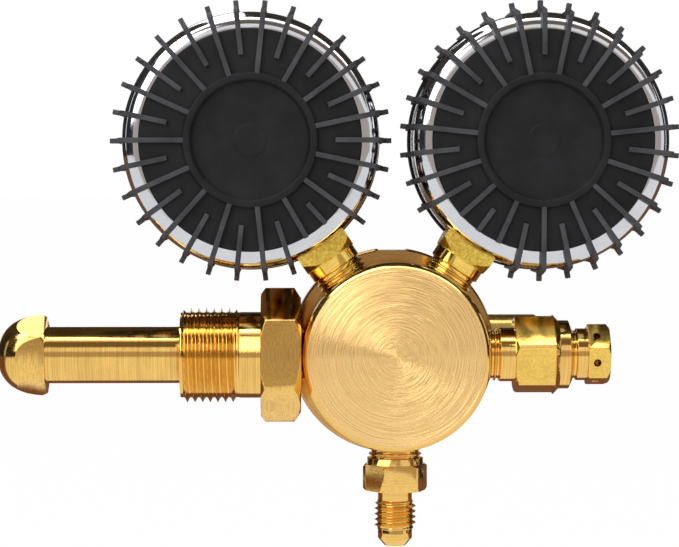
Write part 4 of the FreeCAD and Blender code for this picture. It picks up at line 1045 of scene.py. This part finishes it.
@dataclass
class Gauge(Assembly):
    """One gauge with its boot; sizes are in its own frame, with +Z to the dial's front."""

    name: str
    fins: Growth
    fin_phase: float
    full_scale: int
    fin_pairs: int = 15
    fin_thickness: float = 1.3
    gap: float = 14.5        # degrees, each side of the block, that the fins are cut short over
    cut_radius: float = 28.7
    block_start: float = 30.2    # from the body's axis to the square block
    disc_front: float = 1.9
    band_inner: float = 33.1
    band_front: float = 27.0
    dial_front: float = 22.2
    dial_sweep: float = 270.0    # degrees, of the scale
    scale_radius: float = 28.6
    figure_radius: float = 18.8
    ink: float = 0.04            # thickness of the print

    def frame(self) -> Matrix:
        """The gauge's own frame, from where its bezel stands."""
        low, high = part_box(self.name + "_bezel")
        centre = (low + high) / 2
        lean = math.atan2(centre.x, centre.z)
        side = Vector((-math.cos(lean), 0.0, math.sin(lean)))
        return framed(Vector((centre.x, 0.0, centre.z)), Vector((0.0, 1.0, 0.0)), side)

    def _fin(self, name: str, start: float, back: float, reach: float | None = None) -> bpy.types.Object:
        """One fin along +X, from its foot on the boot's back to its lug on the band.

        Args:
            name: The template object's name.
            start: Radius of the fin's inner end.
            back: Height of its back edge.
            reach: Radius that it is cut off at, or None for a whole fin.

        Returns:
            A hidden template object.
        """
        foot, inner, front = self.disc_front, self.band_inner, self.band_front
        if reach is None:
            outline = [(start, foot), (start, back), (32.6, back), (33.4, back + 0.8), (34.9, 9.8),
                       (36.4, 10.3), (36.4, 12.2), (34.3, 12.2), (34.3, front), (inner, front),
                       (inner, 6.5), (32.4, 4.3), (30.9, 2.6), (28.5, foot)]
        else:
            outline = [(start, foot), (start, back), (reach, back), (reach, foot)]
        work = bmesh.new()
        half = self.fin_thickness / 2 * MM
        corners = [work.verts.new((radius * MM, -half, height * MM)) for radius, height in outline]
        face = work.faces.new(corners)
        pushed = bmesh.ops.extrude_face_region(work, geom=[face])
        moved = [item for item in pushed["geom"] if isinstance(item, bmesh.types.BMVert)]
        bmesh.ops.translate(work, verts=moved, vec=(0.0, 2 * half, 0.0))
        bmesh.ops.recalc_face_normals(work, faces=work.faces)
        bmesh.ops.bevel(work, geom=list(work.edges), offset=0.2 * MM, segments=2, profile=0.7,
                        affect="EDGES", clamp_overlap=True)
        template = from_bmesh(name, work)
        template.hide_render = True
        return smooth(template)

    def build_boot(self, place: Matrix) -> None:
        """Make the rubber boot: back disc, front band and fins.

        Args:
            place: The gauge's frame.
        """
        disc = lathe("boot_disc", [
            (0.0, 0.7), (4.0, 0.7), (4.3, 0.9), (14.7, 0.9), (15.3, -0.7), (15.6, -1.0), (16.9, -1.0),
            (17.2, -0.7), (17.5, 0.4), (28.1, 0.4), (28.5, 0.8), (28.5, self.disc_front),
            (0.0, self.disc_front)], place)
        inner, front = self.band_inner, self.band_front
        band = lathe("boot_band", [(inner, 20.4), (33.7, 20.4), (33.7, front), (inner, front)], place, 160)
        parts = [paint(disc, BOOT_RUBBER), paint(band, BOOT_RUBBER)]
        step = 2 * math.pi / self.fin_pairs
        phase = math.radians(self.fin_phase - 90.0)
        for kind, start, back, shift in (("long", 17.0, -0.9, 0.0), ("short", 21.7, -0.6, 0.5)):
            whole = self._fin(f"{self.name}_{kind}_fin", start, back)
            stub = self._fin(f"{self.name}_{kind}_stub", start, back, self.cut_radius)
            grown = self.fins.grow(
                f"{self.name}_{kind}_fins", place, Count=self.fin_pairs, Phase=phase + shift * step,
                Step=step, Gap=math.radians(self.gap), Part=whole, Gap_Part=stub,
                Material=FIN_RUBBER_PAINTED_SHEEN.material())
            parts.append(smooth(grown))
            bpy.data.objects.remove(whole)
            bpy.data.objects.remove(stub)
        self.done(joined(self.name + "_boot_finished", parts), "regulator", "black_rubber",
                  self.name + "_boot")

    def build_dial(self, place: Matrix) -> None:
        """Print the dial: ticks and figures on a white plate.

        Args:
            place: The gauge's frame.
        """
        lift = self.dial_front + self.ink / 2
        parts = []
        for name, count, inner, width in (("major", 5, 24.0, 0.55), ("minor", 41, 26.4, 0.22)):
            work = bmesh.new()
            bmesh.ops.create_cube(work, size=1.0)
            length = self.scale_radius - inner
            bmesh.ops.scale(work, vec=Vector((length, width, self.ink)) * MM, verts=work.verts)
            bmesh.ops.translate(work, vec=Vector((inner + length / 2, 0.0, lift)) * MM, verts=work.verts)
            tick = from_bmesh(name + "_tick", work)
            first, sweep = math.radians(90.0 - self.dial_sweep / 2), math.radians(self.dial_sweep)
            parts.append(self.fins.grow(
                f"{self.name}_{name}_ticks", place, Count=count, Phase=first, Step=sweep / (count - 1),
                Gap=0.0, Part=tick, Gap_Part=tick, Material=INK_BLACK.material()))
            bpy.data.objects.remove(tick)
        for index in range(5):
            angle = math.radians(90.0 + self.dial_sweep * (0.5 - index / 4))
            spot = (math.cos(angle) * self.figure_radius, math.sin(angle) * self.figure_radius)
            parts.append(self._figure(str(self.full_scale * index // 4), spot, 4.0, place))
        parts.append(self._figure("psi", (0.0, -13.5), 3.4, place))
        print_layer = joined(self.name + "_dial_print", parts)
        self.done(print_layer, "regulator", "pointer_black")

    def _figure(self, text: str, spot: tuple[float, float], height: float, place: Matrix
                ) -> bpy.types.Object:
        """Print a few characters on the dial, centred on a spot.

        Args:
            text: The characters.
            spot: Their centre on the dial, in mm.
            height: The size of the type, in mm.
            place: The gauge's frame.

        Returns:
            The print, as a mesh.
        """
        curve = bpy.data.curves.new(text, "FONT")
        curve.body = text
        curve.align_x = "CENTER"
        curve.align_y = "CENTER"
        curve.size = height * MM
        curve.extrude = self.ink / 2 * MM
        curve.resolution_u = 4
        made = plain(text, new_object(text, curve))
        lift = self.dial_front + self.ink / 2
        made.data.transform(place @ Matrix.Translation(Vector((*spot, lift)) * MM))
        return paint(made, INK_BLACK)

    def build(self) -> None:
        """Make the gauge's pieces."""
        place = self.frame()
        self.build_boot(place)
        self.build_dial(place)
        name = self.name
        self.machined(name + "_case", "regulator", "chrome", CHROME_PLATE, width=0.1)
        self.machined(name + "_bezel", "regulator", "chrome", CHROME_PLATE, width=0.1)
        socket = self.machined(name + "_socket", "regulator", "cast_brass", CAST_BRASS, NECK_BRASS,
                               width=0.3)
        towards = Vector((place.translation.x, 0.0, place.translation.z)).normalized()
        paint_where(socket, 1, lambda face: face.center.dot(towards) < self.block_start * MM)
        self.machined(name + "_lens", "regulator", "lens", CLEAR_LENS, width=0.2)


@dataclass
class Yielding(Assembly):
    """A spring or a rubber disc that, on the real regulator, shortens as a joint moves."""

    node: str
    joint: str
    axis: tuple[float, float, float]
    fixed_end: float         # mm along the axis, where it doesn't move
    travel: float            # mm that its other end is pushed
    slot: str
    finish: Finish
    least: float = 0.05      # share of its length that always stays

    def build(self) -> None:
        """Make the piece and give it a mesh of its own."""
        piece = smooth(from_bmesh(self.node + "_finished", merged_copy(self.node)), 40.0)
        paint(piece, self.finish)
        self.done(piece, "regulator", self.slot, self.node)
        low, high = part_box(self.node)
        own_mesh(piece)


@dataclass
class Inner(Assembly):
    """The pieces that keep their CAD shape."""

    def build(self) -> None:
        """Dress each node that nothing else stands for."""
        dressed = {
            "nozzle": RELIEF_BRASS, "valve_seat": SEAT_PLASTIC, "valve_stem": ZINC_STEEL,
            "slip_ring": ZINC_STEEL, "diaphragm_plate": ZINC_STEEL, "spring_button": ZINC_STEEL,
            "inlet_filter": FILTER_BRONZE, "relief_seal": SEAL_RUBBER, "relief_poppet": RELIEF_BRASS}
        for side in ("left", "right"):
            for part in ("bourdon_tube", "tube_tip", "movement_frame", "pinion", "sector_gear", "link"):
                dressed[f"{side}_{part}"] = MOVEMENT_BRASS
            dressed.update({
                side + "_dial": DIAL_WHITE, side + "_dial_screws": ZINC_STEEL,
                side + "_pointer": INK_BLACK, side + "_gasket": SEAL_RUBBER})
        for node, finish in dressed.items():
            paint(FRAME["nodes"][node], finish)
            LOG.info("%s: dressed", node)


# ---------------------------------------------------------------- studio

@dataclass
class Studio:
    """Camera, lamps, pale floor, and the bright and dark cards that polished metal shows."""

    eye: tuple[float, float, float] = (-0.02734, -0.585, 0.04304)
    aim: tuple[float, float, float] = (0.02154, 1.0, -0.03669)
    lens: float = 121.84
    floor_height: float = -0.11
    flag_distance: float = 1.5
    ambient: float = 0.7

    def build(self) -> None:
        """Make all of the studio."""
        self._camera()
        self._world()
        self._floor()
        for name, low, high, left, right, tone in (
                ("softbox_strip", 70.0, 82.0, -3.0, 0.0, (3.4, 3.4, 3.4)),
                ("softbox_overhead", 82.0, 146.0, -0.55, -0.12, (2.6, 2.6, 2.6)),
                ("softbox_edge", 72.0, 78.0, 0.0, 3.0, (2.4, 2.4, 2.4)),
                ("flag_left", 82.0, 146.0, -3.0, -0.55, (0.06, 0.05, 0.04)),
                ("flag_right", 82.0, 146.0, -0.12, 3.0, (0.05, 0.04, 0.03)),
                ("flag_behind", 146.0, 174.0, -3.0, 3.0, (0.05, 0.04, 0.03)),
                ("flag_front", 36.0, 62.0, -3.0, 3.0, (0.19, 0.15, 0.12)),
                ("flag_middle", -8.0, 18.0, -1.2, 2.2, (0.52, 0.46, 0.42)),
                ("flag_far_left", -8.0, 18.0, -3.0, -1.5, (0.25, 0.22, 0.20)),
                ("flag_horizon", -17.0, -8.0, -3.0, 3.0, (0.12, 0.10, 0.08))):
            self._flag(name, (math.radians(low), math.radians(high)), (left, right), tone)
        ground = self.floor_height + 0.002
        for name, side, near, far in (
                ("flag_left_front", -1.6, -1.9, 0.15), ("flag_left_back", -1.6, 0.3, 3.0),
                ("flag_right_front", 1.6, -0.3, 0.15), ("flag_right_back", 1.6, 0.3, 3.0)):
            rows = [[(side, near, height), (side, far, height)] for height in (ground, 1.6)]
            self._card(name, rows, (0.03, 0.03, 0.035))
        rows = [[(-3.0, back, ground), (3.0, back, ground)] for back in (0.078, 3.0)]
        self._card("flag_floor", rows, (0.20, 0.10, 0.06))
        self._lamp("lamp_top", 76.0, 0.0, (2.2, 0.22), 4.0)
        self._lamp("lamp_key", 30.0, -45.0, (0.7, 0.7), 4.0)

    def _camera(self) -> None:
        """Stand the camera behind the regulator and aim it."""
        data = bpy.data.cameras.new("camera")
        data.lens = self.lens
        data.sensor_width = 36.0
        data.sensor_fit = "HORIZONTAL"
        camera = bpy.data.objects.new("camera", data)
        camera.location = self.eye
        camera.rotation_euler = Vector(self.aim).to_track_quat("-Z", "Y").to_euler()
        bpy.context.scene.collection.objects.link(camera)
        bpy.context.scene.camera = camera
        bpy.context.scene.view_settings.view_transform = "Standard"

    @staticmethod
    def _seen(board: Board) -> Signal:
        """1 for rays that show the background: camera, glossy and transmission rays."""
        rays = [board.node("ShaderNodeLightPath", None, None, name)
                for name in ("Is Camera Ray", "Is Glossy Ray", "Is Transmission Ray")]
        return board.clamp(rays[0] + rays[1] + rays[2])

    def _world(self) -> None:
        """White to look at, and softer as a light."""
        world = bpy.data.worlds.new("studio")
        world.use_nodes = True
        bpy.context.scene.world = world
        board = Board(world.node_tree)
        strength = self._seen(board) * (1.0 - self.ambient) + self.ambient
        light = board.node("ShaderNodeBackground", None,
                           {"Color": (1.0, 1.0, 1.0, 1.0), "Strength": strength})
        board.node("ShaderNodeOutputWorld", None, {"Surface": light})

    def _floor(self) -> None:
        """A wide pale floor that keeps a soft shadow."""
        work = bmesh.new()
        bmesh.ops.create_grid(work, x_segments=1, y_segments=1, size=40.0)
        floor = from_bmesh("floor", work, Matrix.Translation((0.0, 0.0, self.floor_height)))
        material = bpy.data.materials.new("pale_floor")
        material.use_nodes = True
        board = Board(material.node_tree)
        matt = board.node("ShaderNodeBsdfDiffuse", None, {"Color": (0.93, 0.93, 0.93, 1.0)})
        white = board.node("ShaderNodeEmission", None, {"Color": (1.0, 1.0, 1.0, 1.0), "Strength": 1.0})
        both = board.node("ShaderNodeMixShader", None, {0: self._seen(board) * 0.97, 1: matt, 2: white})
        board.node("ShaderNodeOutputMaterial", None, {"Surface": both})
        floor.data.materials.append(material)

    def _flag(self, name: str, rise: tuple[float, float], width: tuple[float, float], tone: Colour) -> None:
        """A card that only reflections see, bent about the X axis.

        Args:
            name: The card's name.
            rise: The angles of its two long edges, from the camera's side upwards, in radians.
            width: Where it starts and ends along X, in metres.
            tone: Its brightness in each colour.
        """
        rows = []
        steps = 12
        for step in range(steps + 1):
            angle = rise[0] + (rise[1] - rise[0]) * step / steps
            depth, height = -self.flag_distance * math.cos(angle), self.flag_distance * math.sin(angle)
            rows.append([(across, depth, height) for across in width])
        self._card(name, rows, tone)

    @staticmethod
    def _card(name: str, rows: Sequence[Sequence[tuple[float, float, float]]], tone: Colour) -> None:
        """A glowing or dark card that only reflections see.

        Args:
            name: The card's name.
            rows: Rows of two points each, in metres, that the card runs through.
            tone: Its brightness in each colour.
        """
        work = bmesh.new()
        made = [[work.verts.new(point) for point in row] for row in rows]
        for first, second in zip(made, made[1:]):
            work.faces.new((first[0], first[1], second[1], second[0]))
        card = from_bmesh(name, work)
        material = bpy.data.materials.new(name)
        material.use_nodes = True
        board = Board(material.node_tree)
        glow = board.node("ShaderNodeEmission", None, {"Color": (*tone, 1.0), "Strength": 1.0})
        board.node("ShaderNodeOutputMaterial", None, {"Surface": glow})
        card.data.materials.append(material)
        for ray in ("camera", "diffuse", "transmission", "volume_scatter", "shadow"):
            setattr(card, "visible_" + ray, False)

    @staticmethod
    def _lamp(name: str, height: float, azimuth: float, size: tuple[float, float], power: float) -> None:
        """An area lamp a metre away, aimed at the object.

        Args:
            name: The lamp's name.
            height: Its height above the horizon, in degrees.
            azimuth: Its angle round from the camera's side, in degrees.
            size: Its width and height, in metres.
            power: Its power, in watts.
        """
        data = bpy.data.lights.new(name, "AREA")
        data.shape = "RECTANGLE"
        data.size, data.size_y = size
        data.energy = power
        lamp = bpy.data.objects.new(name, data)
        rise, turn = math.radians(height), math.radians(azimuth)
        way = Vector((math.cos(rise) * math.sin(turn), -math.cos(rise) * math.cos(turn), math.sin(rise)))
        lamp.location = way
        lamp.rotation_euler = (-way).to_track_quat("-Z", "Y").to_euler()
        bpy.context.scene.collection.objects.link(lamp)


def main() -> None:
    logging.basicConfig(level=logging.INFO, format="%(name)s %(message)s")
    FRAME.update(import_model())
    Studio().build()
    thread, radial = thread_tree(), radial_tree()
    Body().build()
    Inlet(thread).build()
    Outlet(thread).build()
    ReliefValve().build()
    Handle().build()
    Gauge("left", radial, 3.9, 4000).build()
    Gauge("right", radial, 14.1, 800).build()
    along, across = (0.0, 1.0, 0.0), (1.0, 0.0, 0.0)
    spring = {"slot": "spring_steel", "finish": SPRING_STEEL}
    for yielding in (
            Yielding("adjusting_spring", "button_slide", along, fixed_end=36.2, travel=7.144, **spring),
            Yielding("return_spring", "valve_lift", along, fixed_end=4.0, travel=0.8, **spring),
            Yielding("relief_spring", "relief_lift", across, fixed_end=46.15, travel=1.0, **spring),
            Yielding("diaphragm", "valve_lift", along, fixed_end=34.0, travel=0.8, slot="seal_rubber",
                     finish=SEAL_RUBBER)):
        yielding.build()
    Inner().build()


if __name__ == "__main__":
    main()
